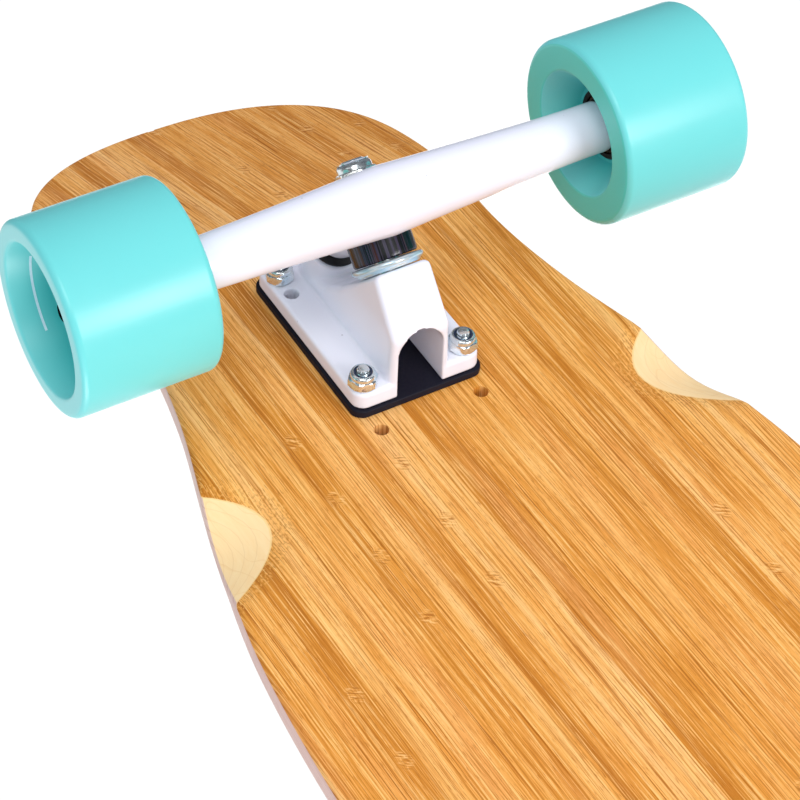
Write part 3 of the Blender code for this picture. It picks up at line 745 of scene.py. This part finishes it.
def rim_places():
    """(x, half width, inward x, inward y) along the board, where inward is the unit vector
    that points from the rim at +y into the board."""
    pitch, turns = 4 * MM, 44
    nose_x = TRUCK_X + NOSE_START
    front = [pitch * k for k in range(int(nose_x / pitch) + 1) if pitch * k < nose_x - pitch / 2]
    for degrees in [90 * k / turns for k in range(turns)] + [89.5]:
        front.append(nose_x + (NOSE_REACH - NOSE_START) * math.sin(math.radians(degrees)))
    found = []
    step = 0.05 * MM
    for x in front:
        place = x - TRUCK_X
        ahead = min(place + step, NOSE_REACH)
        back = max(place - step, -TRUCK_X)
        across, along = half_width(ahead) - half_width(back), ahead - back
        length = math.hypot(across, along)
        found.append((x, half_width(place), across / length, -along / length))
    return [(-x, w, -ix, iy) for x, w, ix, iy in found[:0:-1]] + found


def deck_mesh():
    """Cross-sections from tip to tip: the underside, both rounded rims and the top. Each vertex
    keeps its depth in millimetres, and whether it is where a well cuts or on the side."""
    columns, rounds = 72, 6
    flat_inset = DECK_EDGE + 0.2 * MM
    loops, notes = [], []
    for x, wide, inward_x, inward_y in rim_places():
        at_rim = well_depth(abs(x) - TRUCK_X, wide)
        top_round = min(DECK_EDGE, 0.45 * (DECK_THICKNESS - at_rim))
        low_round = min(top_round, DECK_EDGE - (DECK_EDGE - WELL_EDGE) * at_rim / MM)
        low_round = max(low_round, min(top_round, WELL_EDGE))
        flat_x, flat_y = x + inward_x * flat_inset, wide + inward_y * flat_inset
        inner_depth = well_depth(abs(flat_x) - TRUCK_X, flat_y)

        section = []
        for k in range(columns + 1):
            y = flat_y * (2 * k / columns - 1)
            depth = well_depth(abs(flat_x) - TRUCK_X, y)
            section.append((flat_x, y, depth, float(depth > 0), 0.0))
        rim = []
        angles = [math.pi / 2 * k / rounds for k in range(rounds + 1)]
        for angle in angles:
            inset = low_round * (1 - math.sin(angle))
            base = inner_depth + (at_rim - inner_depth) * (1 - inset / flat_inset)
            rim.append((inset, base + low_round * (1 - math.cos(angle))))
        for angle in angles:
            rise = top_round * (1 - math.sin(angle))
            rim.append((top_round * (1 - math.cos(angle)), DECK_THICKNESS - rise))
        rim.append((DECK_EDGE, DECK_THICKNESS))
        left = []
        for k, (inset, depth) in enumerate(rim):
            on_side = float(k > 0 and depth < DECK_THICKNESS - 0.01 * MM)
            point = (x + inward_x * inset, wide + inward_y * inset)
            left.append((*point, depth, float(at_rim > 0), on_side))
        section += left + [(x, -y, *rest) for x, y, *rest in left[::-1]]
        loops.append([deck_point(*entry[:3]) for entry in section])
        notes.append([entry[2:] for entry in section])

    body = bmesh.new()
    layers = [body.verts.layers.float.new(name) for name in ("wood_depth", "wood_slope", "deck_side")]
    for row, note in zip(skin(body, loops), notes):
        for vertex, (depth, sloped, on_side) in zip(row, note):
            for layer, value in zip(layers, (depth / MM, sloped, on_side)):
                vertex[layer] = value
    return mesh_of("deck", body)


def grip_mesh():
    inset = DECK_EDGE + GRIP_INSET
    low = DECK_THICKNESS + GAP
    shoulder, top = low + 0.7 * GRIP_THICKNESS, low + GRIP_THICKNESS
    loops = []
    for x, wide, inward_x, inward_y in rim_places():
        px, py = x + inward_x * inset, wide + inward_y * inset
        if py < 1 * MM:
            continue
        section = [(-py, low), (py, low), (py, shoulder)]
        section += [(share * (py - 0.3 * MM), top) for share in (1, 0.5, 0, -0.5, -1)]
        section += [(-py, shoulder)]
        loops.append([deck_point(px, y, depth) for y, depth in section])
    return solid("grip_tape", loops)


def bolt_places():
    return [(x, y) for x in (-BOLT_X, BOLT_X) for y in (-BOLT_Y, BOLT_Y)]


def deck_hole_places(*xs):
    return [(end * (TRUCK_X + x), s * BOLT_Y) for end in (-1, 1) for x in xs for s in (-1, 1)]


def add_deck(wood, grit):
    top = DECK_UNDERSIDE + DECK_THICKNESS
    countersunk = [
        (HOLE_RADIUS, DECK_UNDERSIDE - 5 * MM),
        (HOLE_RADIUS, top - 2.9 * MM),
        (5 * MM, top - 0.4 * MM),
        (5 * MM, top + 5 * MM),
    ]
    straight = [(HOLE_RADIUS, DECK_UNDERSIDE - 5 * MM), (HOLE_RADIUS, top + 5 * MM)]
    bolts = deck_hole_places(-BOLT_X, BOLT_X)
    spares = deck_hole_places(SPARE_DECK_HOLE_X)
    through = ("DIFFERENCE", posts("bolt_holes", bolts, countersunk), None)
    spare = ("DIFFERENCE", posts("spare_holes", spares, straight), None)
    deck = combined(deck_mesh(), [through, spare])
    stand_in("deck", deck, wood, "board", angle=40)
    through = ("DIFFERENCE", posts("grip_holes", bolts, countersunk), None)
    stand_in("grip_tape", combined(grip_mesh(), [through]), grit, "board")


# ---------------------------------------------------------------- truck


def along_kingpin(along, outwards=0.0):
    away = Vector((-KINGPIN_AXIS.z, 0, KINGPIN_AXIS.x))
    point = KINGPIN_FOOT + along * KINGPIN_AXIS + outwards * away
    return point.x, point.z


def kingpin_frame(along=0.0):
    return placed(KINGPIN_FOOT + along * KINGPIN_AXIS, KINGPIN_AXIS)


def tent_mesh():
    """The baseplate's raised middle, with its long edges rounded."""
    front, low = PLATE_X[0] + GAP, PLATE_Z[0] + MM
    outline = [(front, low), (front, 31 * MM)]
    outline += [along_kingpin(-3.9 * MM, 12.5 * MM), along_kingpin(-3.9 * MM, -25 * MM)]
    outline += mm((14, 17), (34, 12)) + [(34 * MM, low)]
    body = bmesh.new()
    body.from_mesh(prism("tent", outline, TENT_HALF_WIDTH, TENT_DRAFT))
    edges = []
    for edge in body.edges:
        low, high = sorted(vertex.co.z for vertex in edge.verts)
        if low > PLATE_Z[0] + 2 * MM or (high - low > 10 * MM and edge.verts[0].co.x < 0):
            edges.append(edge)
    shape = {"offset": 2.4 * MM, "segments": 5, "profile": 0.5, "clamp_overlap": True}
    bmesh.ops.bevel(body, geom=edges, affect="EDGES", **shape)
    return mesh_of("tent", body)


def boss_mesh():
    """The pivot's boss leans from a round foot on the plate up to its rim."""
    rim = placed(RING_CENTRE - PIVOT_RIM * STEER_AXIS, STEER_AXIS)
    steps = 40
    rim_loop = [rim @ Vector(point) for point in ring(PIVOT_BOSS_RADIUS, 0, steps)]
    start = min(range(steps), key=lambda k: rim_loop[k].x + abs(rim_loop[k].y))
    rim_loop = rim_loop[start:] + rim_loop[:start]
    turn = 1 if rim_loop[steps // 4].y > 0 else -1
    foot_loop = []
    for k in range(steps):
        angle = math.pi - turn * 2 * math.pi * k / steps
        foot_x = PIVOT_BOSS_FOOT_X + PIVOT_BOSS_RADIUS * math.cos(angle)
        foot_loop.append((foot_x, PIVOT_BOSS_RADIUS * math.sin(angle), PLATE_Z[0] + 2 * MM))
    return solid("boss", [rim_loop, foot_loop])


def tunnel_mesh():
    outline = [(-TUNNEL_HALF_WIDTH, 0), (TUNNEL_HALF_WIDTH, 0)]
    for k in range(25):
        angle = math.pi * k / 24
        height = TUNNEL_SPRING_Z + TUNNEL_HALF_WIDTH * math.sin(angle)
        outline.append((TUNNEL_HALF_WIDTH * math.cos(angle), height))
    ends = (PLATE_X[0] - 5 * MM, TUNNEL_END_X)
    return solid("tunnel", [[(x, y, z) for y, z in outline] for x in ends])


def baseplate_mesh():
    edge, draft = 1.3 * MM, 0.2 * MM
    flange = rounded_plate("flange", PLATE_X, PLATE_HALF_WIDTH, PLATE_Z, CORNER_RADIUS, edge, draft)
    bore = mm((0, -20), (8.7, -20), (8.7, -10.2), (5.1, -10.2), (5.1, 10), (0, 10))
    cup_seat = mm((0, -47.6), (6.6, -47.6)) + [(9 * MM, -PIVOT_RIM), (9 * MM, 8 * MM - PIVOT_RIM)]
    places = bolt_places() + [(SPARE_PLATE_HOLE_X, y) for y in (-BOLT_Y, BOLT_Y)]
    steer_frame = placed(RING_CENTRE, STEER_AXIS)
    steps = [
        ("UNION", tent_mesh(), None),
        ("UNION", boss_mesh(), None),
        ("DIFFERENCE", tunnel_mesh(), None),
        ("DIFFERENCE", lathe("bore", bore, 40), kingpin_frame()),
        ("DIFFERENCE", lathe("cup_seat", cup_seat, 40), steer_frame),
        ("DIFFERENCE", posts("holes", places, [(HOLE_RADIUS, 0), (HOLE_RADIUS, 15 * MM)]), None),
    ]
    return combined(flange, steps, remesh=0.5 * MM, smoothing=4)


def hanger_mesh():
    """The beam, ring and pivot arm run into each other, as in the casting."""
    middle_radius, end_radius, end, round_off = 12.8 * MM, 9.5 * MM, 90 * MM, 0.6 * MM
    taper_end, taper_power = 82 * MM, 1.35
    outline = [(0, -end), (end_radius - round_off, -end), (end_radius, round_off - end)]
    for k in range(1, 40):
        place = -end + 2 * end * k / 40
        fullness = (1 - min(abs(place) / taper_end, 1)) ** taper_power
        outline.append((end_radius + (middle_radius - end_radius) * fullness, place))
    outline += [(end_radius, end - round_off), (end_radius - round_off, end), (0, end)]
    beam = lathe("beam", outline, BODY_STEPS)
    across = placed(AXLE_LINE, ACROSS)
    beam.transform(across)

    housing = mm((0, 13), (14.4, 13), (15.5, 14.1), (15.5, 18.3), (14.4, 19.4), (0, 19.4))
    arm = mm((0, -4), (11, -4), (10.5, -16), (8.3, -35.9), (6.5, -36.2), (5.2, -45), (3.4, -46.1))
    seats = mm((0, -8), (12.6, -8), (12.6, 13), (8, 13), (8, 19.4), (10.7, 19.4), (10.7, 24.5))
    seats += mm((13.6, 24.9), (13.6, 50), (0, 50))
    bore = mm((0, -95), (4.3, -95), (4.3, 95), (0, 95))
    steps = [
        ("UNION", lathe("housing", housing), kingpin_frame()),
        ("UNION", lathe("arm", arm), placed(RING_CENTRE, STEER_AXIS)),
        ("DIFFERENCE", lathe("seats", seats), kingpin_frame()),
        ("DIFFERENCE", lathe("bore", bore), across),
    ]
    return combined(beam, steps, remesh=0.6 * MM, smoothing=5)


def hex_nut(across, height, bore, hex_share=0.64, roll_share=0.2):
    """A self-locking nut: chamfered hexagon below, and a round collar rolled in at the top."""
    half = across / 2
    corner = half / math.cos(math.pi / 6)
    hex_top = hex_share * height
    collar = 0.93 * half
    roll = roll_share * height
    outline = [
        (bore, 0),
        (half * 0.98, 0),
        (half * 1.01, 0.35 * MM),
        (half, 0.5 * MM, 6, half * 1.05),
        (half, 1.0 * MM, 6, corner * 0.995),
        (half, hex_top - 0.9 * MM, 6, corner * 0.995),
        (half, hex_top - 0.3 * MM, 6, half * 1.07),
        (half * 0.99, hex_top),
        (collar, hex_top + 0.15 * MM),
    ]
    outline += arc((collar - roll, height - roll), roll, 0, 90, 6)
    outline += [(bore + 0.95 * MM, height), (bore + 0.8 * MM, height - 0.5 * MM)]
    outline += [(bore, height - 0.6 * MM)]
    return lathe("nut", outline)


def nylon_ring(height, bore):
    low, high = height - 0.55 * MM, height - 0.25 * MM
    outline = [(bore, low), (bore + 0.77 * MM, low), (bore + 0.77 * MM, high), (bore, high)]
    return lathe("nylon", outline, 40)


def thread(radius, start, end, pitch):
    """(radius, height) pairs along a thread's crests and roots."""
    pairs = []
    count = max(int((end - start) / pitch), 1)
    for k in range(count):
        low = start + k * pitch
        pairs += [(radius, low + 0.15 * pitch), (radius - 0.32 * pitch, low + 0.6 * pitch)]
    return pairs


def add_bushing(node, fixed, moved, look, at):
    """A bushing between two (radius, height) ends, with its sides running straight from one to the
    other and rounded where they meet the ends."""
    bore, soft = 6.4 * MM, 0.9 * MM
    (low_radius, low), (high_radius, high) = sorted((fixed, moved), key=lambda end: end[1])
    outline = [(bore, low)] + arc((low_radius - soft, low + soft), soft, -90, 0, 5)
    for k in range(1, 8):
        share = k / 8
        radius = low_radius + (high_radius - low_radius) * share
        outline.append((radius, low + soft + (high - low - 2 * soft) * share))
    outline += arc((high_radius - soft, high - soft), soft, 0, 90, 5) + [(bore, high)]
    bushing = lathe("bushing", outline, BODY_STEPS)
    for axis, name in enumerate(("around_x", "around_y")):
        around = bushing.attributes.new(name, "FLOAT", "POINT")
        for item, vertex in zip(around.data, bushing.vertices):
            item.value = vertex.co.xy.normalized()[axis]
    made = piece(f"{node}_fine", bushing, look["bushing"], at)
    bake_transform(made)
    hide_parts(node)


def add_kingpin_stack(name, look, truck):
    """The kingpin and what is threaded on it, on the kingpin's own line."""
    at = truck @ kingpin_frame()

    def add(part, mesh, finish, matrix=at, angle=32):
        stand_in(f"{name}_{part}", mesh, look[finish], "board", matrix, angle)

    half, radius = KINGPIN_ACROSS / 2, KINGPIN_RADIUS
    head, neck = -16.6 * MM, -10.5 * MM
    pin = [(0, head), (half * 0.8, head), (half, head + 0.6 * MM, 6, half * 1.05)]
    pin += [(half, head + 1.2 * MM, 6), (half, neck, 6), (radius, neck), (radius, 24 * MM)]
    pin += thread(radius, 29 * MM, 36.6 * MM, 1.05 * MM) + mm((4.4, 37.2), (3.7, 37.7), (0, 37.8))
    add("kingpin", lathe("kingpin", pin), "zinc")

    # The cup washer has a rounded foot and a fat rolled rim.
    washer = mm((5.1, -3.5)) + arc((11.2 * MM, -3.0 * MM), 0.5 * MM, -90, 0, 5)
    washer += arc((12.35 * MM, -1.25 * MM), 1.1 * MM, -75, 90, 12)
    washer += mm((11.8, -0.3), (11.4, -1.4), (5.1, -1.4))
    add("washer_boardside", lathe("washer", washer, BODY_STEPS), "blue_zinc", angle=50)

    fixed, moved = mm((12, 0.3), (12, 12.7))
    add_bushing(f"{name}_bushing_boardside", fixed, moved, look, at)
    fixed, moved = mm((9, 27.9), (10.2, 19.7))
    add_bushing(f"{name}_bushing_roadside", fixed, moved, look, at)

    washer = mm((5.1, 28.4)) + arc((8.2 * MM, 28.9 * MM), 0.6 * MM, -90, 90, 8) + mm((5.1, 29.5))
    add("washer_roadside", lathe("washer", washer, BODY_STEPS), "zinc")

    at = truck @ kingpin_frame(30 * MM)
    height, bore = 7.1 * MM, 5.1 * MM
    add("kingpin_nut", hex_nut(KINGPIN_ACROSS, height, bore, 0.52, 0.34), "zinc", at)
    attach(piece(f"{name}_kingpin_nut_insert", nylon_ring(height, bore), look["nylon"], at), "board")


def add_pivot_cup(name, look, truck):
    outline = mm((0, -47.2), (6.2, -47.2), (8.6, -38.4))
    outline += arc((10.3 * MM, -37.7 * MM), 0.7 * MM, -90, 90, 8)
    outline += arc((7.8 * MM, -37.9 * MM), 0.9 * MM, 90, 170, 5) + mm((5.6, -46.4), (0, -46.4))
    at = truck @ placed(RING_CENTRE, STEER_AXIS)
    stand_in(f"{name}_pivot_cup", lathe("cup", outline), look["cup"], "board", at)


def add_mounting(name, look, truck):
    """Countersunk bolts with a hexagon socket, and their nuts."""
    head, tip = -DECK_THICKNESS - GAP - GRIP_THICKNESS, BOLT_TIP_Z
    bolt = [(0, head + 2.2 * MM), (1.7 * MM, head + 2.2 * MM, 6), (1.7 * MM, head, 6)]
    bolt += [(4.3 * MM, head), (4.6 * MM, head + 0.25 * MM), (4.6 * MM, head + 0.9 * MM)]
    bolt += [(BOLT_RADIUS, head + 3.6 * MM), (BOLT_RADIUS, 10.6 * MM)]
    bolt += thread(BOLT_RADIUS, 10.8 * MM, tip - 0.9 * MM, 0.8 * MM)
    bolt += [(2.3 * MM, tip - 0.7 * MM), (2.0 * MM, tip - 0.15 * MM), (1.4 * MM, tip), (0, tip)]
    bore = 2.7 * MM
    for number, (x, y) in enumerate(bolt_places(), 1):
        at = truck @ Matrix.Translation((x, y, 0)) @ Matrix.Rotation(BOLT_TURN * number, 4, "Z")
        made = lathe("bolt", bolt)
        stand_in(f"{name}_mount_bolt_{number}", made, look["zinc"], "board", at)
        at = at @ Matrix.Translation((0, 0, PLATE_Z[1] + GAP))
        nut = hex_nut(MOUNT_NUT_ACROSS, MOUNT_NUT_HEIGHT, bore)
        stand_in(f"{name}_mount_nut_{number}", nut, look["zinc"], "board", at)
        insert = nylon_ring(MOUNT_NUT_HEIGHT, bore)
        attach(piece(f"{name}_mount_nut_insert_{number}", insert, look["nylon"], at), "board")


# ---------------------------------------------------------------- wheels


def dish_wall(height):
    """The radius of the outer dish at a height above the wheel's middle."""
    return DISH_RADIUS + DISH_FLARE * (height - DISH_HEIGHT)


def wheel_mesh():
    """Local Z runs along the axle, away from the board's middle. Its flat faces (1 outside and -1
    inside), their rims and the dishes are marked
    for the light and shade painted on them: a painted highlight on the rims, painted shade deep in the
    dishes, and the inner face darker, partly its own shade and partly painted shade."""
    seat, reach = BEARING_SEAT_RADIUS, BEARING_SEAT_REACH
    inboard, outboard = (y - WHEEL_Y for y in BEARING_Y)
    edge, tread, lip, mouth = WHEEL_HALF_WIDTH, WHEEL_RADIUS, 2.6 * MM, 1.8 * MM
    floor = outboard + reach + 1 * MM
    waist = 9.8 * MM
    outline = [(seat, inboard - reach), (seat, inboard + reach), (waist, inboard + reach)]
    outline += [(waist, outboard - reach), (seat, outboard - reach), (seat, floor - 1 * MM)]
    # Both arcs run into the dish's wall without a kink.
    lean = math.degrees(math.atan(DISH_FLARE))
    aside = math.hypot(1, DISH_FLARE)
    corner = 3 * MM
    outline += arc((dish_wall(floor + corner) - aside * corner, floor + corner), corner, -90, -lean, 6)
    mouth_radius = dish_wall(edge - mouth) + aside * mouth
    outline += arc((mouth_radius, edge - mouth), mouth, 180 - lean, 90, 7)
    tread_arc = arc((tread - lip, edge - lip), lip, 90, 0, 12)
    outline += tread_arc + [(radius, -height) for radius, height in tread_arc[::-1]]
    outline += arc((INNER_MOUTH_RADIUS, 1.6 * MM - edge), 1.6 * MM, -90, -150, 6)
    outline += arc((14 * MM, inboard - reach - 1.0 * MM), 1.0 * MM, 45, 90, 3)
    wheel = lathe("wheel", outline, ROUND_STEPS)
    shades = [wheel.attributes.new(name, "FLOAT", "POINT").data for name in ("face", "dish", "rim")]
    for k, vertex in enumerate(wheel.vertices):
        radius, height = math.hypot(vertex.co.x, vertex.co.y), vertex.co.z
        deep = edge - abs(height)
        on_face = deep < 0.3 * MM
        in_dish = radius < (mouth_radius if height > 0 else INNER_MOUTH_RADIUS) - 0.2 * MM
        on_rim = not on_face and (deep < mouth or (deep < lip and not in_dish))
        # face, dish and rim carry the painted light and shade in the urethane's colour.
        shades[0][k].value = math.copysign(1, height) if on_face else 0.0
        shades[1][k].value = min(deep / (5 * MM), 1) if in_dish else 0.0
        shades[2][k].value = float(on_rim)
    return wheel


def arc_stripe_mesh():
    """A thin printed arc on the wall of the outer dish."""
    steps = 60
    first, last = STRIPE_ARC
    body = bmesh.new()
    rows = []
    for height in STRIPE_HEIGHTS:
        radius = dish_wall(height) - 0.08 * MM
        row = []
        for k in range(steps + 1):
            angle = first + (last - first) * k / steps
            row.append(body.verts.new((radius * math.cos(angle), radius * math.sin(angle), height)))
        rows.append(row)
    for k in range(steps):
        body.faces.new((rows[0][k], rows[0][k + 1], rows[1][k + 1], rows[1][k]))
    return mesh_of("stripe", body)


def bearing_mesh():
    """The outer ring, with a small step where the shield sits."""
    half = BEARING_HALF_WIDTH
    face = half - 0.5 * MM
    outline = [(9.3 * MM, -face), (10.1 * MM, -face), (10.2 * MM, -half)]
    outline += arc((10.6 * MM, 0.4 * MM - half), 0.4 * MM, -90, 0, 3)
    outline += arc((10.6 * MM, half - 0.4 * MM), 0.4 * MM, 0, 90, 3)
    outline += [(10.2 * MM, half), (10.1 * MM, face), (9.3 * MM, face)]
    return lathe("bearing", outline, BODY_STEPS)


def shield_mesh():
    outline = mm((6.95, -2.9), (7.5, -3.2), (10.05, -3.2), (10.05, 3.2), (7.5, 3.2), (6.95, 2.9))
    return lathe("shield", outline, BODY_STEPS)


def black_ring_mesh():
    """A black ring, 11.15 to 13.2 mm out, round the inboard bearing."""
    low = BEARING_Y[0] - WHEEL_Y - BEARING_SEAT_REACH
    inner, outer = 11.15 * MM, 13.2 * MM
    outline = [(inner, low - 0.3 * MM), (12.9 * MM, low - 0.3 * MM), (outer, low)]
    outline += [(outer, low + 1 * MM), (inner, low + 1 * MM)]
    return lathe("core", outline, BODY_STEPS)


def sleeve_mesh():
    low, high = (y - WHEEL_Y for y in SLEEVE_Y)
    inboard, outboard = (y - WHEEL_Y for y in BEARING_Y)
    waist_low, waist_high = inboard + BEARING_HALF_WIDTH, outboard - BEARING_HALF_WIDTH
    bore, waist, outer, round_off = 4.3 * MM, 5 * MM, 6 * MM, 0.4 * MM
    outline = [(bore, low), (outer - round_off, low), (outer, low + round_off)]
    outline += [(outer, waist_low), (waist, waist_low), (waist, waist_high), (outer, waist_high)]
    outline += [(outer, high - round_off), (outer - round_off, high), (bore, high)]
    return lathe("sleeve", outline)


def add_wheel_set(truck_name, corner, side, look):
    """One end of an axle. side is 1 for +Y in the world."""
    spin, steer = f"{corner}_wheel_group", f"{truck_name}_hanger_group"
    place = middle(f"{corner}_wheel")

    def frame_at(y):
        return placed(Vector((place.x, side * y, place.z)), side * ACROSS)

    def add(part, mesh, finish, matrix, body):
        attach(piece(f"{corner}_{part}", mesh, look[finish], matrix), body)

    at = frame_at(WHEEL_Y)
    stand_in(f"{corner}_wheel", wheel_mesh(), look["wheel"], spin, at, 60)
    add("wheel_stripe", arc_stripe_mesh(), "print", at, spin)
    for label, y in zip(("inboard", "outboard"), BEARING_Y):
        part, seat = f"bearing_{label}", frame_at(y)
        made = bearing_mesh()
        stand_in(f"{corner}_{part}", made, look["bearing"], spin, seat)
        add(f"{part}_shield", shield_mesh(), "shield", seat, spin)
    # A black ring round the inboard bearing.
    add("wheel_black_ring", black_ring_mesh(), "shield", at, spin)
    made = sleeve_mesh()
    stand_in(f"{corner}_bearing_sleeve", made, look["brass"], steer, at)
    at = frame_at(AXLE_NUT_Y[0])
    height, bore = AXLE_NUT_Y[1] - AXLE_NUT_Y[0], 4.3 * MM
    nut = hex_nut(12.7 * MM, height, bore)
    stand_in(f"{corner}_axle_nut", nut, look["zinc"], steer, at)
    add("axle_nut_insert", nylon_ring(height, bore), "nylon", at, steer)


def axle_mesh():
    end, tip, plain = AXLE_HALF_LENGTH - 0.9 * MM, 3.1 * MM, 118 * MM
    threads = thread(AXLE_RADIUS, AXLE_NUT_Y[1], end - 0.3 * MM, 0.9 * MM)
    half = [(AXLE_RADIUS, plain)] + threads + [(tip, end), (0, end)]
    return lathe("axle", [(radius, -height) for radius, height in half[::-1]] + half)


def add_truck(name, end, look):
    facing = Matrix.Rotation(0 if end > 0 else math.pi, 4, "Z")
    spot = Matrix.Translation((end * TRUCK_X, 0, DECK_UNDERSIDE))
    truck = spot @ facing @ Matrix.Rotation(math.pi, 4, "X")
    across = truck @ placed(AXLE_LINE, ACROSS)
    steer = f"{name}_hanger_group"

    levels = (GAP, RISER_TOP_Z)
    pad = rounded_plate("riser", RISER_X, RISER_HALF_WIDTH, levels, CORNER_RADIUS, 0.5 * MM)
    holes = posts("riser_holes", bolt_places(), [(HOLE_RADIUS, -MM), (HOLE_RADIUS, 5 * MM)])
    pad = combined(pad, [("DIFFERENCE", holes, None)])
    stand_in(f"{name}_riser_pad", pad, look["riser"], "board", truck)
    for part, make, body in (("baseplate", baseplate_mesh, "board"), ("hanger", hanger_mesh, steer)):
        stand_in(f"{name}_{part}", make(), look["enamel"], body, truck, 60)
    stand_in(f"{name}_axle", axle_mesh(), look["axle"], steer, across)
    add_kingpin_stack(name, look, truck)
    add_pivot_cup(name, look, truck)
    add_mounting(name, look, truck)
    for hand, side in (("left", 1), ("right", -1)):
        add_wheel_set(name, f"{name}_{hand}", side, look)


# ---------------------------------------------------------------- camera, floor and lights


def add_camera():
    data = bpy.data.cameras.new("camera")
    data.sensor_width = 36
    data.lens = CAMERA_LENS
    data.clip_start = 0.01
    back = CAMERA_RIGHT.cross(CAMERA_UP)
    place = Vector((TRUCK_X, 0, DECK_UNDERSIDE)) + CAMERA_OFFSET
    turn = Matrix((CAMERA_RIGHT, CAMERA_UP, back)).transposed().to_4x4()
    bpy.context.scene.camera = linked("camera", data, Matrix.Translation(place) @ turn)


def add_floor():
    """A pale floor that is seen from above only, so that a view from below looks past it."""
    mesh = bpy.data.meshes.new("floor")
    ways = ((-1, -1), (1, -1), (1, 1), (-1, 1))
    corners = [(x * FLOOR_REACH, y * FLOOR_REACH, 0) for x, y in ways]
    mesh.from_pydata(corners, [], [(0, 1, 2, 3)])
    floor = linked("floor", mesh, Matrix.Translation((0, 0, -FLOOR_DROP)))
    look = Look("floor", roughness=0.9)
    cloud = look.noise(look.position(), 1.5, 2.0)
    look.set("Base Color", look.mix(cloud, (0.33, 0.33, 0.335), (0.36, 0.36, 0.365)))
    look.set("Emission Color", (0.97, 0.98, 1.0))
    look.set("Emission Strength", 0.54)
    behind = look.node("ShaderNodeNewGeometry", {}).outputs["Backfacing"]
    clear = look.node("ShaderNodeBsdfTransparent", {}).outputs[0]
    both = look.node("ShaderNodeMixShader", {0: behind, 1: look.shader.outputs[0], 2: clear})
    output = look.tree.nodes["Material Output"]
    look.tree.links.new(both.outputs[0], output.inputs["Surface"])
    mesh.materials.append(look.material)
    for kind in ("visible_diffuse", "visible_glossy", "visible_transmission", "visible_shadow"):
        setattr(floor, kind, False)


def add_softbox(name, direction, distance, size, power, target):
    data = bpy.data.lights.new(name, "AREA")
    data.shape = "SQUARE"
    data.size = size
    data.energy = power
    direction = Vector(direction).normalized()
    turn = direction.to_track_quat("Z", "Y").to_matrix().to_4x4()
    made = linked(name, data, Matrix.Translation(target + distance * direction) @ turn)
    made.visible_camera = False


def add_world():
    """White behind the object and even light on it. What it mirrors is white beyond it, a room
    with brighter and darker panels on the camera's side, and dim high up in the picture."""
    world = bpy.data.worlds.new("studio")
    bpy.context.scene.world = world
    world.use_nodes = True
    studio = Nodes(world.node_tree)
    studio.tree.nodes.clear()

    def background(colour, strength):
        return studio.node("ShaderNodeBackground", {"Color": colour, "Strength": strength}).outputs[0]

    def facing(way):
        inputs = {0: direction, 1: way}
        return studio.node("ShaderNodeVectorMath", inputs, operation="DOT_PRODUCT").outputs["Value"]

    rays = studio.node("ShaderNodeLightPath", {}).outputs
    direction = studio.node("ShaderNodeTexCoord", {}).outputs["Generated"]
    room = studio.between(studio.noise(direction, 2.1, 0.5), 0.36, 0.64, (0.08, 0.90))
    beyond = studio.between(facing(CAMERA_UP.cross(CAMERA_RIGHT)), -0.15, 0.35)
    strength = studio.node("ShaderNodeMix", {0: beyond, 2: room, 3: 1.0}).outputs[0]
    dimmed = studio.times(strength, studio.between(facing(CAMERA_UP), 0.08, 0.30, (1.0, 0.12)))
    light = background((0.93, 0.955, 1.09), FILL_STRENGTH)
    mirrored, seen = background((1.0, 1.0, 1.0), dimmed), background((1.0, 1.0, 1.0), 1.05)
    for ray, other in (("Is Glossy Ray", mirrored), ("Is Camera Ray", seen)):
        light = studio.node("ShaderNodeMixShader", {0: rays[ray], 1: light, 2: other}).outputs[0]
    studio.node("ShaderNodeOutputWorld", {"Surface": light})


def add_lights():
    board, centre = Vector((TRUCK_X * 0.8, 0, 0.06)), Vector((0, 0, 0))
    add_softbox("key_below", (-0.86, 0.30, -0.42), 3.0, 1.2, 46, board)
    add_softbox("soft_below", (-0.40, -0.30, -0.87), 3.0, 1.6, 30, board)
    add_softbox("key_above", (-0.55, -0.65, 1.1), 3.0, 1.6, 42, centre)
    add_softbox("fill_above", (0.9, 0.5, 0.8), 3.2, 1.8, 14, centre)


def main():
    add_camera()
    bpy.context.scene.view_settings.view_transform = "Standard"
    look = {
        "enamel": enamel_look(),
        "zinc": zinc_look("bright_zinc", 0.85, (0.66, 0.80, 0.88), (0.88, 0.90, 0.88)),
        "blue_zinc": zinc_look("blue_zinc", 0.55, (0.50, 0.70, 0.80), (0.74, 0.84, 0.88)),
        "brass": brass_look(),
        "axle": dark_steel_look("oiled_steel", (0.010, 0.012, 0.013)),
        "bearing": dark_steel_look("bearing_steel", (0.10, 0.070, 0.055)),
        "bushing": black_urethane_look(),
        "wheel": teal_look(),
        "print": plain_look("white_print", 0.45, 900.0, (0.44, 0.66, 0.72), (0.60, 0.80, 0.84)),
        "nylon": plain_look("dark_nylon", 0.3, 600.0, (0.012, 0.02, 0.05), (0.03, 0.05, 0.10)),
        "riser": black_plastic_look("riser_rubber", (0.004, 0.004, 0.010), 0.6),
        "cup": black_plastic_look("cup_plastic", (0.008, 0.008, 0.009), 0.4),
        "shield": black_plastic_look("shield_rubber", (0.002, 0.002, 0.0025), 0.6),
    }
    add_deck(deck_look(), grip_look())
    for name, end in ENDS.items():
        add_truck(name, end, look)
    add_floor()
    add_world()
    add_lights()


main()
